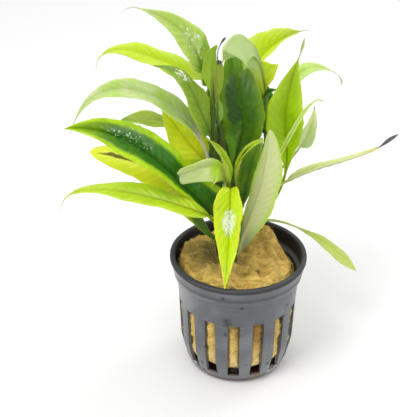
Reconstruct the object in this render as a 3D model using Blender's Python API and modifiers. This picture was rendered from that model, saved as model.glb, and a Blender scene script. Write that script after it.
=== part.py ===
"""Hygrophila in a slotted black net pot, with its rockwool plug, stems and leaves as separate solids.

Sizes are in millimetres until MM turns them into metres. The origin is the middle of the pot's
underside, +Z is up and -Y is the front. An azimuth is counted from +X towards +Y.
"""
import math
from collections import namedtuple

import bmesh
import bpy
from mathutils import Matrix, Vector, noise

MM = 0.001
GAP = 0.3

POT_HEIGHT = 50.0
RIM_RADIUS = 27.0
MOUTH_RADIUS = 24.9
COLLAR_DEPTH = 8.5
COLLAR_FOOT_RADIUS = 25.4
WALL_TOP_RADIUS = 24.1
FOOT_RADIUS = 18.2
WALL = 1.2
FLOOR = 1.6
POT_SIDES = 45
LIP_ROUND = 0.6
LIP_DEPTH = 2.0
COLLAR_STEP = 0.2
# Heights and outside radii of the wall, from its foot up to the collar.
WALL_PROFILE = (
    (0.0, FOOT_RADIUS), (2.3, 20.2), (6.0, 21.3), (13.0, 22.8), (27.6, 23.4),
    (POT_HEIGHT - COLLAR_DEPTH, WALL_TOP_RADIUS),
)
INSIDE_FOOT = 4.0

SLOTS = 15
SLOT_WIDTH = 4.6
SLOT_BOTTOM = 4.5
SLOT_TOP = 31.0
FIRST_SLOT = -95.0
FLOOR_SLOTS = 5
FLOOR_SLOT_WIDTH = 3.0
FLOOR_SLOT_REACH = (6.5, 14.5)

PLUG_BOTTOM = 2.2
PLUG_SHOULDER = 9.0
PLUG_NECK = 40.0
PLUG_BROW = 45.5
PLUG_EDGE = 48.0
PLUG_TOP = 49.2
PLUG_FOOT_RADIUS = 14.0
PLUG_TOP_RADIUS = 23.6
PLUG_LUMP = 2.8
PLUG_LUMP_SPACING = 6.25
PLUG_DENT = 0.14
PLUG_DENT_AZIMUTH = 25.0
PLUG_DENT_SHARPNESS = 3
SOCKET_REACH = 20.0
SOCKET_SLACK = 1.1

STEM_RADIUS = 1.25
STEM_NODE_SWELL = 1.3
NODE_REACH = 2.5
STALK_CLEARANCE = 0.8
LEAF_STEPS = 10
LEAF_THICKNESS = 0.45
FIRST_SPRING = 0.32
LAST_SPRING = 0.40
STALK_HALF_WIDTH = 0.6
TIP_HALF_WIDTH = 0.25
TWIST_START = 0.72
WING_TAPER = 1.5
WING_START = 0.2
WING_GROWTH = 5.0

# A stem is straight from its foot in the plug to its top.
Stem = namedtuple("Stem", "foot top")

STEMS = {
    "left": Stem((-7, 4, 39), (-11.5, 0, 125)),
    "middle": Stem((0, 5, 39), (-7.8, 4.5, 105)),
    "right": Stem((7, 8, 39), (12.5, 20, 107)),
    "front": Stem((-1.5, -3, 39), (-3, -6.5, 86)),
    "back": Stem((-1, 14, 39), (-3, 24, 103)),
}

# A leaf stands on its stem at a height, and its tip lies reach away along azimuth and rise above that.
# lift and fall are the slopes of its first and last stretch, sweep its sideways bend and roll its turn
# about its own midrib, all in degrees. bow is its length against the straight line from end to end.
# widest is where along the blade it is broadest, stalk the share of its length without blade, and point
# how fast it narrows. fold is the slope of both halves away from the midrib and twist the turn of its
# last stretch, in degrees, wing half the width of the seams beside its stalk, and kept the share that
# is not torn off.
Leaf = namedtuple(
    "Leaf",
    "stem height azimuth reach rise lift fall width roll sweep bow widest stalk fold point twist wing kept tone",
    defaults=(0, 1.0, 0.42, 0.12, 14, 2.7, 0, 0, 1.0, "bright"),
)

LEAVES = {
    "leaf_left_low": Leaf(
        "left", 55.5, 201, 50, 47, 54, 20, 16.5, -34,
        sweep=-3, bow=1.48, widest=0.61, stalk=0, fold=1, point=1.4, wing=3.5,
    ),
    "leaf_left_broad": Leaf(
        "left", 89, 183, 20, 26.5, 49, 62, 14, -63,
        sweep=-10, bow=0.92, widest=0.39, stalk=0.05, fold=13, point=2,
    ),
    "leaf_left_arching": Leaf(
        "left", 92, 200, 52.5, 23.5, 77, -65, 10.5, -34,
        sweep=-8, bow=1.26, widest=0.32, stalk=0.13, fold=19, point=1.7,
    ),
    "leaf_left_inner": Leaf(
        "left", 102.5, 201, 22.5, 30, 53, -11, 11, -53,
        sweep=-45, bow=1.09, widest=0.31, stalk=0.03, fold=0, point=1.9, tone="deep",
    ),
    "leaf_left_yellow": Leaf(
        "left", 124, 200, 40.5, 14.5, 9, -11, 10, -34,
        sweep=48, bow=0.9, widest=0.35, stalk=0, fold=6, point=2.3,
    ),
    "leaf_left_crown": Leaf(
        "left", 123, 188, 25.5, 29.5, 88, 16, 11, -61,
        sweep=-6, bow=1.11, widest=0.29, stalk=0.11, point=1.7,
    ),
    "leaf_left_upright": Leaf(
        "left", 115.5, 291, 4.5, 23.5, 62, 53, 8, 26,
        sweep=20, bow=0.87, widest=0.6, stalk=0.21, fold=15, point=2,
    ),
    "leaf_left_back_low": Leaf("left", 78, 145, 25, 26, 50, 0, 10, 10),
    "leaf_front_low": Leaf(
        "front", 67.5, 191, 63.5, 16.5, 38, -55, 10, -22,
        sweep=-50, bow=0.87, widest=0.3, stalk=0.2, fold=9, point=2.5, twist=-26,
    ),
    "leaf_front_broad": Leaf(
        "front", 63, 205, 64.5, 57.5, 54, 7, 16.5, -62,
        sweep=13, bow=0.78, widest=0.45, stalk=0.24, fold=36, point=1.9, wing=6, tone="deep",
    ),
    "leaf_front_torn": Leaf(
        "front", 84, 207, 50.5, 13, 92, 32, 7.5, -87,
        sweep=12, bow=1.4, widest=0.39, stalk=0.13, fold=22, point=2.4, kept=0.56, tone="pale",
    ),
    "leaf_front_hanging": Leaf(
        "front", 82, 262, 22.5, -29.5, 55, -18, 13.5, 6,
        bow=1.66, widest=0.34, stalk=0.16, fold=35, point=1.5,
    ),
    "leaf_front_right": Leaf(
        "front", 53.5, 320, 15.5, 57.5, 79, 92, 13.5, -93,
        sweep=-21, bow=1.01, widest=0.56, stalk=0, fold=23, point=1.4, tone="pale",
    ),
    "leaf_front_young_left": Leaf(
        "front", 85, 203, 11, 21, 69, 28, 6, -38,
        sweep=-30, bow=0.88, widest=0.31, stalk=0.05, fold=44, point=1.8,
    ),
    "leaf_front_young_right": Leaf(
        "front", 85, 355, 11, 18.5, 110, -7, 3, 30,
        sweep=50, bow=1.2, widest=0.62, stalk=0, fold=31, point=1.4,
    ),
    "leaf_middle_shaded": Leaf(
        "middle", 62.5, 341, 11.5, 37.5, 69, 66, 9, 59,
        sweep=12, bow=1.08, widest=0.6, stalk=0.1, fold=20, point=2.3, tone="deep",
    ),
    "leaf_middle_upright": Leaf(
        "middle", 79, 86, 13, 48.5, 60, 53, 17.5, 8,
        sweep=25, bow=1.57, widest=0.6, stalk=0.05, fold=17, point=1.5, tone="deep",
    ),
    "leaf_middle_olive": Leaf(
        "middle", 97, 201, 2, 33, 40, 78, 6.5, 98,
        sweep=22, bow=1.36, widest=0.7, stalk=0.06, point=1.4, tone="olive",
    ),
    "leaf_middle_rolled": Leaf("middle", 103, 250, 2, 14, 88, 95, 5, 0, stalk=0.1, fold=55),
    "leaf_middle_back": Leaf("middle", 70, 100, 13, 36, 45, 75, 13, 0, tone="deep"),
    "leaf_right_over_rim": Leaf(
        "right", 57, 367, 42, -27, -20, -36, 11.5, 8,
        sweep=-37, bow=1.07, widest=0.73, stalk=0.32, fold=0, point=3.5, tone="pale",
    ),
    "leaf_right_withered": Leaf(
        "right", 68.5, 370, 54.5, 22, 57, 14, 5, 3,
        sweep=34, bow=1.13, widest=0.25, stalk=0.2, fold=44, point=1.7, tone="pale",
    ),
    "leaf_right_tall": Leaf(
        "right", 60, -4, 12.5, 68, 58, 74, 17.5, 84,
        sweep=-16, bow=1.45, widest=0.68, stalk=0.15, fold=34, point=3.9,
    ),
    "leaf_right_edge": Leaf("right", 81, 347, 21, 29.5, 11, -38, 2, 60, sweep=65, bow=1.17),
    "leaf_right_dark": Leaf(
        "right", 93, 290, 6.5, 22, 67, 22, 6, 57,
        sweep=31, bow=1.13, widest=0.55, stalk=0.13, fold=22, point=2.6, tone="deep",
    ),
    "leaf_right_olive": Leaf(
        "right", 96.5, 127, 1, 49, 47, 95, 16.5, -11,
        sweep=-40, bow=1.17, widest=0.45, stalk=0.2, fold=20, kept=0.62, tone="olive",
    ),
    "leaf_right_hood": Leaf(
        "right", 104.5, 233, 32.5, 33.5, 89, -22, 24.5, 185,
        sweep=17, bow=1.28, widest=0.69, stalk=0.26, fold=64, point=3.2, tone="pale",
    ),
    "leaf_right_arching": Leaf(
        "right", 96, 21, 26.5, 19, 81, -32, 6, 33,
        bow=1.48, widest=0.52, fold=15, point=2.4, tone="pale",
    ),
    "leaf_right_pale": Leaf(
        "right", 74.5, 20, 20.5, 28.5, 38, 91, 7, 80,
        sweep=3, bow=1.01, widest=0.22, stalk=0.53, fold=18, point=1.3, tone="pale",
    ),
    "leaf_right_back_low": Leaf("right", 53, 85, 30, 25, 65, 0, 11, 0),
    "leaf_right_back_high": Leaf("right", 88, 100, 20, 22, 70, 5, 10, 0, tone="deep"),
    "leaf_back_left": Leaf(
        "back", 81.5, 200, 45.5, 23.5, 51, 2, 11, -4,
        sweep=15, bow=0.91, widest=0.64, stalk=0.14, fold=1, point=2.8, tone="deep",
    ),
    "leaf_back_crown": Leaf(
        "back", 96.5, 11, 26.5, 35, 66, 25, 19.5, 25,
        sweep=-43, bow=1.01, widest=0.43, stalk=0.13, fold=44, point=2,
    ),
    "leaf_back_low": Leaf("back", 56, 90, 38, 10, 50, -35, 13, 0),
    "leaf_back_low_left": Leaf("back", 62, 140, 38, 26, 55, -10, 12, 10, tone="deep"),
    "leaf_back_low_right": Leaf("back", 68, 50, 24, 30, 65, 20, 11, 0),
    "leaf_back_middle": Leaf("back", 84, 105, 28, 18, 60, -20, 12, 0, tone="deep"),
    "leaf_back_upper": Leaf("back", 92, 140, 18, 26, 75, 20, 11, 0),
}

# Colour and roughness of each finish.
FINISHES = {
    "pot": ((0.035, 0.037, 0.040), 0.38),
    "plug": ((0.36, 0.25, 0.09), 0.95),
    "stem": ((0.13, 0.15, 0.035), 0.45),
    "bright": ((0.30, 0.50, 0.02), 0.32),
    "deep": ((0.07, 0.21, 0.015), 0.28),
    "olive": ((0.26, 0.34, 0.04), 0.40),
    "pale": ((0.45, 0.58, 0.22), 0.50),
}


def clear_scene():
    """Take every object out of the scene."""
    for thing in list(bpy.data.objects):
        bpy.data.objects.remove(thing, do_unlink=True)


def collection(name):
    """A new collection in the scene."""
    group = bpy.data.collections.new(name)
    bpy.context.scene.collection.children.link(group)
    return group


def finish(tone):
    """The material of one tone, made once."""
    if tone in bpy.data.materials:
        return bpy.data.materials[tone]
    colour, rough = FINISHES[tone]
    material = bpy.data.materials.new(tone)
    material.use_nodes = True
    shader = material.node_tree.nodes["Principled BSDF"]
    shader.inputs["Base Color"].default_value = (*colour, 1.0)
    shader.inputs["Roughness"].default_value = rough
    shader.inputs["Metallic"].default_value = 0.0
    return material


def add_mesh(name, shape, group, tone=None):
    """Turn a finished bmesh into an object with its material."""
    mesh = bpy.data.meshes.new(name)
    shape.to_mesh(mesh)
    shape.free()
    thing = bpy.data.objects.new(name, mesh)
    group.objects.link(thing)
    if tone:
        mesh.materials.append(finish(tone))
    return thing


def add_cutter(name, shape, group):
    """Turn a finished bmesh into a tool that is not part of the model."""
    tool = add_mesh(name, shape, group)
    tool.hide_render = True
    tool.display_type = "WIRE"
    return tool


def cut(thing, tool):
    """Take the tool's shape out of a solid."""
    step = thing.modifiers.new(tool.name, "BOOLEAN")
    step.operation = "DIFFERENCE"
    step.solver = "EXACT"
    step.object = tool


def wall_radius(height):
    """Radius of the outside of the pot's wall, under the collar."""
    for (low, near), (high, far) in zip(WALL_PROFILE, WALL_PROFILE[1:]):
        if height <= high:
            return near + (far - near) * max(0.0, height - low) / (high - low)
    return WALL_TOP_RADIUS


def pot_section():
    """Half section of the pot as radius and height, down the outside and back up the inside."""
    collar_foot = POT_HEIGHT - COLLAR_DEPTH
    lip = [
        (MOUTH_RADIUS + LIP_ROUND, POT_HEIGHT), (RIM_RADIUS - LIP_ROUND, POT_HEIGHT),
        (RIM_RADIUS, POT_HEIGHT - LIP_ROUND), (RIM_RADIUS - COLLAR_STEP, POT_HEIGHT - LIP_DEPTH),
        (COLLAR_FOOT_RADIUS, collar_foot), (WALL_TOP_RADIUS, collar_foot - COLLAR_STEP),
    ]
    outside = [(radius, height) for height, radius in reversed(WALL_PROFILE[:-1])] + [(0.0, 0.0)]
    inside = [(0.0, FLOOR), (FOOT_RADIUS - LIP_ROUND, FLOOR)]
    inside += [(wall_radius(z) - WALL, z) for z in (INSIDE_FOOT, *(z for z, _ in WALL_PROFILE[3:-1]))]
    return lip + outside + inside + [(MOUTH_RADIUS, collar_foot), (MOUTH_RADIUS, POT_HEIGHT - LIP_ROUND)]


def make_pot(parts, tools):
    """The net pot: a turned cup with a collar, and slots down its wall and in its floor."""
    shape = bmesh.new()
    points = [shape.verts.new((r * MM, 0.0, z * MM)) for r, z in pot_section()]
    # The profile starts and ends at the lip, which closes the section, and touches the axis twice.
    for near, far in zip(points, points[1:] + points[:1]):
        if near.co.x > 0.0 or far.co.x > 0.0:
            shape.edges.new((near, far))
    pot = add_mesh("net_pot", shape, parts, "pot")
    turn = pot.modifiers.new("turn", "SCREW")
    turn.axis = "Z"
    turn.steps = turn.render_steps = POT_SIDES
    turn.use_merge_vertices = True
    turn.merge_threshold = 0.00005
    cut(pot, slot_tool(tools))


def add_bar(shape, low, high, turn):
    """Add a box between two corners to a bmesh, turned about the pot's axis."""
    low, high = Vector(low) * MM, Vector(high) * MM
    place = Matrix.Rotation(turn, 4, "Z") @ Matrix.Translation((low + high) / 2)
    bmesh.ops.create_cube(shape, size=1.0, matrix=place @ Matrix.Diagonal((*(high - low), 1.0)))


def slot_tool(tools):
    """One tool with a bar for every slot in the wall and in the floor."""
    shape = bmesh.new()
    for index in range(SLOTS):
        turn = math.radians(FIRST_SLOT + index * 360.0 / SLOTS)
        low = (FOOT_RADIUS - 2.0, -SLOT_WIDTH / 2, SLOT_BOTTOM)
        add_bar(shape, low, (RIM_RADIUS, SLOT_WIDTH / 2, SLOT_TOP), turn)
    near, far = FLOOR_SLOT_REACH
    for index in range(FLOOR_SLOTS):
        turn = math.radians(FIRST_SLOT + index * 360.0 / FLOOR_SLOTS)
        low = (near, -FLOOR_SLOT_WIDTH / 2, -FLOOR)
        add_bar(shape, low, (far, FLOOR_SLOT_WIDTH / 2, 2 * FLOOR), turn)
    return add_cutter("slots", shape, tools)


def plug_section(share):
    """Radius and height of the plug's surface, from the middle of its foot up to the middle of its top."""
    inner = WALL + GAP
    steps = (
        (0.0, 0.0, PLUG_BOTTOM), (0.2, PLUG_FOOT_RADIUS, PLUG_BOTTOM),
        (0.3, wall_radius(PLUG_SHOULDER) - inner, PLUG_SHOULDER),
        (0.6, wall_radius(PLUG_NECK) - inner, PLUG_NECK), (0.67, PLUG_TOP_RADIUS, PLUG_BROW),
        (0.74, PLUG_TOP_RADIUS - 1.0, PLUG_EDGE), (1.0, 0.0, PLUG_TOP),
    )
    for (start, near, low), (end, far, high) in zip(steps, steps[1:]):
        if share <= end:
            along = (share - start) / (end - start)
            return near + (far - near) * along, low + (high - low) * along
    return 0.0, PLUG_TOP


def make_plug(parts, tools):
    """The rockwool plug: a soft lumpy cylinder, dented on one side, with a socket for every stem."""
    shape = bmesh.new()
    bmesh.ops.create_uvsphere(shape, u_segments=30, v_segments=15, radius=1.0)
    for vert in shape.verts:
        around = math.atan2(vert.co.y, vert.co.x)
        share = 1.0 - math.acos(max(-1.0, min(1.0, vert.co.z))) / math.pi
        radius, height = plug_section(share)
        spot = Vector((radius * math.cos(around), radius * math.sin(around), height))
        lump = noise.noise(spot / PLUG_LUMP_SPACING)
        spot.xy *= 1.0 - abs(lump) * PLUG_LUMP / 100
        if height > PLUG_NECK:
            spot.z += PLUG_LUMP * lump
            facing = max(0.0, math.cos(around - math.radians(PLUG_DENT_AZIMUTH)))
            spot.xy *= 1.0 - PLUG_DENT * facing ** PLUG_DENT_SHARPNESS
        vert.co = spot * MM
    plug = add_mesh("rockwool_plug", shape, parts, "plug")
    cut(plug, socket_tool(tools))


def stem_line(stem):
    """A stem's foot and the way it runs, with a height of 1 mm."""
    foot, top = Vector(stem.foot), Vector(stem.top)
    return foot, (top - foot) / (top.z - foot.z)


def stem_at(name, height):
    """The middle of a stem at a height."""
    foot, way = stem_line(STEMS[name])
    return foot + way * (height - foot.z)


def socket_tool(tools):
    """One tool with a round bar for every stem's socket in the plug."""
    shape = bmesh.new()
    for stem in STEMS.values():
        foot, way = stem_line(stem)
        low, high = foot - way * GAP, foot + way * SOCKET_REACH
        upright = way.to_track_quat("Z", "Y").to_matrix().to_4x4()
        place = Matrix.Translation((low + high) / 2 * MM) @ upright
        radius = (STEM_RADIUS + GAP) * SOCKET_SLACK * MM
        bmesh.ops.create_cone(
            shape, cap_ends=True, segments=8, radius1=radius, radius2=radius,
            depth=(high - low).length * MM, matrix=place,
        )
    return add_cutter("sockets", shape, tools)


def stem_stations(name):
    """Heights along a stem and how much it swells there, for the nodes that its leaves stand at."""
    nodes = {leaf.height for leaf in LEAVES.values() if leaf.stem == name}
    ends = {STEMS[name].foot[2], STEMS[name].top[2]}
    heights = sorted(ends | {node + step for node in nodes for step in (-NODE_REACH, 0.0, NODE_REACH)})
    stations = []
    for height in heights:
        if height in ends or height - stations[-1][0] > NODE_REACH / 2 and height < max(ends):
            nearest = min(abs(height - node) for node in nodes)
            swell = 1.0 + (STEM_NODE_SWELL - 1.0) * max(0.0, 1.0 - nearest / NODE_REACH)
            stations.append((height, swell))
    return stations


def make_stem(name, parts):
    """A round stem as a bevelled curve, swollen at its leaf nodes."""
    curve = bpy.data.curves.new("stem_" + name, "CURVE")
    curve.dimensions = "3D"
    curve.bevel_depth = STEM_RADIUS * MM
    curve.bevel_resolution = 2
    curve.use_fill_caps = True
    curve.materials.append(finish("stem"))
    stations = stem_stations(name)
    spline = curve.splines.new("POLY")
    spline.points.add(len(stations) - 1)
    for point, (height, swell) in zip(spline.points, stations):
        point.co = (*(stem_at(name, height) * MM), 1.0)
        point.radius = swell
    parts.objects.link(bpy.data.objects.new("stem_" + name, curve))


def heading(degrees, slope):
    """A direction of unit length from an azimuth and a slope."""
    around, up = math.radians(degrees), math.radians(slope)
    return Vector((math.cos(around) * math.cos(up), math.sin(around) * math.cos(up), math.sin(up)))


def leaf_springs(leaf):
    """The four points that a leaf's midrib bends between."""
    axis = stem_at(leaf.stem, leaf.height)
    standoff = STEM_RADIUS * STEM_NODE_SWELL + STALK_CLEARANCE
    start = axis + heading(leaf.azimuth - leaf.sweep, 0.0) * standoff
    tip = axis + heading(leaf.azimuth, 0.0) * leaf.reach + Vector((0.0, 0.0, leaf.rise))
    length = (tip - start).length * leaf.bow
    first = start + heading(leaf.azimuth - leaf.sweep, leaf.lift) * length * FIRST_SPRING
    last = tip - heading(leaf.azimuth + leaf.sweep, leaf.fall) * length * LAST_SPRING
    return start, first, last, tip


def leaf_frame(leaf, along):
    """A point of the midrib, and the directions to the leaf's left and out of its upper face."""
    a, b, c, d = leaf_springs(leaf)
    rest = 1.0 - along
    point = a * rest ** 3 + b * 3 * rest ** 2 * along + c * 3 * rest * along ** 2 + d * along ** 3
    way = ((b - a) * rest ** 2 + (c - b) * 2 * rest * along + (d - c) * along ** 2).normalized()
    left = heading(leaf.azimuth + 90.0, 0.0)
    left = (left - way * left.dot(way)).normalized()
    end = max(0.0, (along - TWIST_START) / (1.0 - TWIST_START))
    roll = leaf.roll + leaf.twist * end * end * (3.0 - 2.0 * end)
    turn = Matrix.Rotation(math.radians(roll), 3, way)
    return point, turn @ left, turn @ way.cross(left)


def half_width(leaf, along):
    """Half the leaf's width at a share of its length: a stalk, then a blade that narrows to a point."""
    least = STALK_HALF_WIDTH + (TIP_HALF_WIDTH - STALK_HALF_WIDTH) * along
    wing = leaf.wing * (1.0 - along) ** WING_TAPER * min(1.0, WING_START + along * WING_GROWTH)
    least = max(least, wing)
    blade = (along - leaf.stalk) / (1.0 - leaf.stalk)
    if not 0.0 < blade < 1.0:
        return least
    swell = (blade / leaf.widest) ** (leaf.point * leaf.widest)
    taper = ((1.0 - blade) / (1.0 - leaf.widest)) ** (leaf.point * (1.0 - leaf.widest))
    return max(least, leaf.width / 2 * swell * taper)


def make_leaf(name, leaf, parts):
    """A leaf: a strip folded along its midrib, given its thickness by Solidify."""
    shape = bmesh.new()
    bmesh.ops.create_grid(shape, x_segments=LEAF_STEPS, y_segments=2, size=1.0)
    fold = math.radians(leaf.fold)
    for vert in shape.verts:
        along = (vert.co.x + 1.0) / 2 * leaf.kept
        across = vert.co.y * half_width(leaf, along)
        point, left, upper = leaf_frame(leaf, along)
        point = point + left * across * math.cos(fold) + upper * abs(across) * math.sin(fold)
        vert.co = point * MM
    thing = add_mesh(name, shape, parts, leaf.tone)
    wall = thing.modifiers.new("thickness", "SOLIDIFY")
    wall.thickness = LEAF_THICKNESS * MM
    wall.offset = -1.0


def main():
    """Build the whole potted plant."""
    clear_scene()
    parts = collection("potted_hygrophila")
    tools = collection("cutters")
    make_pot(parts, tools)
    make_plug(parts, tools)
    for name in STEMS:
        make_stem(name, parts)
    for name, leaf in LEAVES.items():
        make_leaf(name, leaf, parts)
    bpy.context.view_layer.update()


main()
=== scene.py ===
"""Hygrophila in a slotted black net pot: fine pot, rockwool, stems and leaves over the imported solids.

Sizes are in millimetres until MM turns them into metres. The origin is the middle of the pot's
underside, +Z is up and -Y is the front. An azimuth is counted from +X towards +Y. A share is counted
from 0 at a leaf's stalk to 1 at its tip.
"""
import math
from collections import namedtuple

import bpy
import numpy as np
from bpy.props import FloatProperty, FloatVectorProperty, IntProperty, PointerProperty
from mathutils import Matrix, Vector, noise


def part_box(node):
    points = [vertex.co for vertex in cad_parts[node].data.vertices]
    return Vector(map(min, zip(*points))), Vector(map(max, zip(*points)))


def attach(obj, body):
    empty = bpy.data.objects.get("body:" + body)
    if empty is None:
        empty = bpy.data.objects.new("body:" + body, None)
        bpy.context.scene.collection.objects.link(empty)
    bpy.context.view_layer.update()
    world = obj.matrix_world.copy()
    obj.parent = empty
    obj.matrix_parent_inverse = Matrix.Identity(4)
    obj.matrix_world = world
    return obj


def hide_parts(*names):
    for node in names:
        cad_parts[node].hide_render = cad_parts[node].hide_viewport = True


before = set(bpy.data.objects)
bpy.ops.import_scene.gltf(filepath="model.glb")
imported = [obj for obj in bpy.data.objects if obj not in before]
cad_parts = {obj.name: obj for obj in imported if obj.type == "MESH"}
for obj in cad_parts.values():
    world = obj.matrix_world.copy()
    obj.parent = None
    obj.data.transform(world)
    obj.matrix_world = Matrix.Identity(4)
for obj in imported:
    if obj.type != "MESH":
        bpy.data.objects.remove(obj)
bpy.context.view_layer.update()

bl_info = {
    "name": "Potted hygrophila",
    "version": (1, 0, 0),
    "blender": (4, 5, 0),
    "location": "3D View > Sidebar > Hygrophila",
    "description": "Builds a hygrophila with its leaves, stems, rockwool plug and slotted net pot",
    "category": "Add Mesh",
}

MM = 0.001

# The camera that the photograph fits, 31 degrees down and level. Its focal length and the frame's size
# are in the photograph's pixels.
CAMERA_PLACE = (-15.1, -359.2, 285.9)
CAMERA_SLOPE = 31.0
CAMERA_FOCUS = 1088.0
FRAME_SIZE = (400, 417)

# Lights, the point that they face and half the floor's side, in metres. The glints light nothing and
# show only as reflections.
LIGHT_TARGET = (0.0, 0.0, 0.08)
KEY_PLACE, KEY_SIZE = (-0.25, -0.25, 0.65), 0.25
RIM_PLACE, RIM_SIZE, RIM_SHARE = (0.35, 0.30, 0.45), 0.2, 0.4
GLINT_PLACES = ((-0.30, -0.35, 0.30), (0.30, -0.20, 0.50), (0.0, 0.15, 0.60))
GLINT_SIZE = 0.11
FLOOR_HALF = 3.0

# The pot's wall outside, as radius and height, from the edge of its foot to the step under its collar.
WALL_STEPS = ((18.2, 0.0), (20.2, 2.3), (21.3, 6.0), (22.8, 13.0), (23.4, 27.6), (24.1, 41.5))
WALL = 1.2
FLOOR = 1.6

# The slots: those of the wall from height to height, those of the floor from radius to radius, the
# first one's azimuth, how many strips of the mesh lie across half a bar and across a slot, the
# degrees that half a bar keeps at the floor's middle, the gap that closes between two sectors, the
# height under which a row belongs to the floor and the least angle of an edge that is rounded.
SLOTS = 15
SLOT_REACH = (4.5, 31.0)
FIRST_SLOT = -95.0
FLOOR_SLOTS = 5
FLOOR_SLOT_REACH = (8.0, 15.0)
FLOOR_SLOT_WIDTH = 3.0
BAR_STEPS = 5
SLOT_STEPS = 6
LEAST_BAR = 0.8
WELD_GAP = 0.01
ON_FLOOR = 0.2
EDGE_ANGLE = 60.0

# The rockwool's outline, as share of the way from its foot to its top, radius and height.
PLUG_STEPS = (
    (0.0, 0.0, 2.2), (0.2, 14.0, 2.2), (0.3, 20.4, 9.0), (0.6, 22.6, 42.0), (0.67, 23.6, 45.5),
    (0.74, 22.6, 48.0), (1.0, 0.0, 49.2),
)
PLUG_ROWS = 190
PLUG_COLUMNS = 300
PLUG_FIRST_SHARE, PLUG_LAST_SHARE = 0.02, 0.995

# Its top above the neck: lumps, finer clumps and pits, each with its size and height and the place of
# its noise, strands that are longer than they are high, a dent beside the wall and a knoll round the
# right stem.
PLUG_NECK = 42.0
LUMP_SIZE, LUMP_HEIGHT = 6.25, 3.2
CLUMP_SIZE, CLUMP_HEIGHT, CLUMP_SEED = 3.4, 1.5, Vector((5.0, 1.0, 8.0))
PIT_SIZE, PIT_DEPTH, PIT_SEED = 3.1, 1.3, Vector((9.0, 4.0, 2.0))
STRAND_SIZE, STRAND_HEIGHT, STRAND_FLATNESS = 2.6, 0.4, 2.2
DENT, DENT_AZIMUTH, DENT_SHARPNESS = 0.22, 36.0, 3
KNOLL_PLACE, KNOLL_HEIGHT, KNOLL_REACH = (9.5, 10.5), 7.0, 6.5

# Its swelling in the slots: depth, half width, the width over which it rises, the height where it
# begins, the length over which it ends, and how far and on what scale its depth changes.
SWELL, SWELL_HALF, SWELL_RISE, SWELL_FOOT, SWELL_END = 1.15, 2.1, 0.9, 8.0, 3.0
SWELL_CHANGE, SWELL_SIZE, SWELL_SEED = 0.9, 5.0, Vector((3.0, 7.0, 1.0))

# Its loose fibres: the height above which they are thick, their share in the slots and the swelling from
# which they stand there, a fibre's bend when it is one long, its tilt in radians and how its length varies.
FUZZ_HEIGHT, SLOT_FUZZ, FUZZ_SWELL = 44.0, 0.5, 0.3
FIBRE_BEND = ((-0.5, 0.0, 0.02), (0.05, 0.28, 0.16), (0.5, 0.0, -0.04))
FIBRE_TILT = 0.35
FIBRE_SHORTEST, FIBRE_LONGEST = 0.45, 1.3

# Marks on the rockwool and on the pot: where, how far they reach and their colour. The rockwool's first
# mark is olive-brown painted shade under the leaves, and the pot's second and third are painted
# highlights near its foot.
Mark = namedtuple("Mark", "place reach colour")
PLUG_MARKS = (
    Mark((-9.0, 2.0, 48.0), 16.0, (0.13, 0.11, 0.03)),
    Mark((1.0, -23.0, 30.0), 7.0, (0.30, 0.20, 0.06)),
    Mark((8.0, -21.0, 27.0), 11.0, (0.30, 0.15, 0.04)),
    Mark((8.0, -12.0, 49.0), 3.0, (0.10, 0.06, 0.02)),
)
POT_MARKS = (
    Mark((7.8, -18.4, 2.0), 3.5, (0.20, 0.11, 0.03)),
    Mark((-17.4, -11.9, 5.0), 1.8, (0.85, 0.85, 0.85)),
    Mark((14.1, -15.4, 4.0), 4.5, (0.50, 0.48, 0.50)),
    Mark((-4.5, -23.5, 32.5), 3.6, (0.03, 0.03, 0.032)),
    Mark((-5.2, -23.0, 27.0), 1.6, (0.01, 0.01, 0.012)),
)

# Where shade is painted on the plastic, as the radii and the heights at which it begins and is full:
# inside the collar, inside the wall and under the rockwool. Then the heights of its darkened lip and of its
# worn foot, which also carries painted sheen.
Shade = namedtuple("Shade", "radii heights")
COLLAR_SHADE = Shade((26.2, 25.6), (43.2, 44.4))
WALL_SHADE = Shade((23.5, 23.1), (31.0, 33.0))
DEN_SHADE = Shade((20.5, 19.5), (8.0, 6.0))
LIP_HEIGHTS = (47.8, 48.4)
FOOT_HEIGHTS = (16.0, 4.0)

# Where the rockwool's middle is painted brown as shade under the leaves, from its front and from its back,
# and the heights at which its side and its pale foot begin and are full.
WOOL_FRONT, WOOL_BACK = (-19.0, -6.0), (18.0, 6.0)
WOOL_SIDE = (40.0, 36.0)
WOOL_FOOT = (22.0, 10.0)

# Linear colours of the pot and the rockwool beside those that a user may change: rubbed at the foot with
# painted sheen, scuffed, a speck, painted shade inside and under the rockwool, then the rockwool's clouds,
# its middle in painted shade under the leaves, its side and its foot, and the white of a painted glint.
RUBBED_AND_SHEEN_PLASTIC = (0.26, 0.26, 0.27)
SCUFFED_PLASTIC = (0.30, 0.31, 0.32)
SPECK = (0.006, 0.006, 0.006)
SHADED_PLASTIC = (0.004, 0.004, 0.005)
DEN = (0.07, 0.010, 0.014)
AMBER_WOOL = (0.72, 0.47, 0.12)
BROWN_WOOL = (0.34, 0.22, 0.05)
SIDE_WOOL = (0.42, 0.30, 0.11)
CREAM_WOOL = (0.95, 0.78, 0.42)
PAINTED_GLINT = (0.9, 0.95, 0.88)

# A stem between its nodes, the nodes' swelling and its reach, the bud and cap at its top, its ribs with
# their height and turn, and the sides and row length of its mesh.
STEM_RADIUS = 1.25
STEM_NODE_SWELL, STEM_NODE_REACH = 1.3, 1.5
STEM_BUD, STEM_CAP = 4.0, 0.4
STEM_RIBS, STEM_RIB_HEIGHT, STEM_RIB_TURN = 4, 0.05, 0.02
STEM_SIDES, STEM_ROW = 20, 0.6

# The gap that the solids keep between stem and stalk, half the width of stalk, heel and tip, where a
# heel comes out of its stem, and how wide and deep the midrib is.
STALK_CLEARANCE = 0.8
STALK_HALF_WIDTH = 0.6
HEEL_HALF_WIDTH = 0.75
TIP_HALF_WIDTH = 0.25
HEEL_DROP, HEEL_ROOT, HEEL_KNEE = 1.2, 0.5, 1.3
RIB_HALF_WIDTH, RIB_GROOVE = 0.55, 0.12

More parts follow.
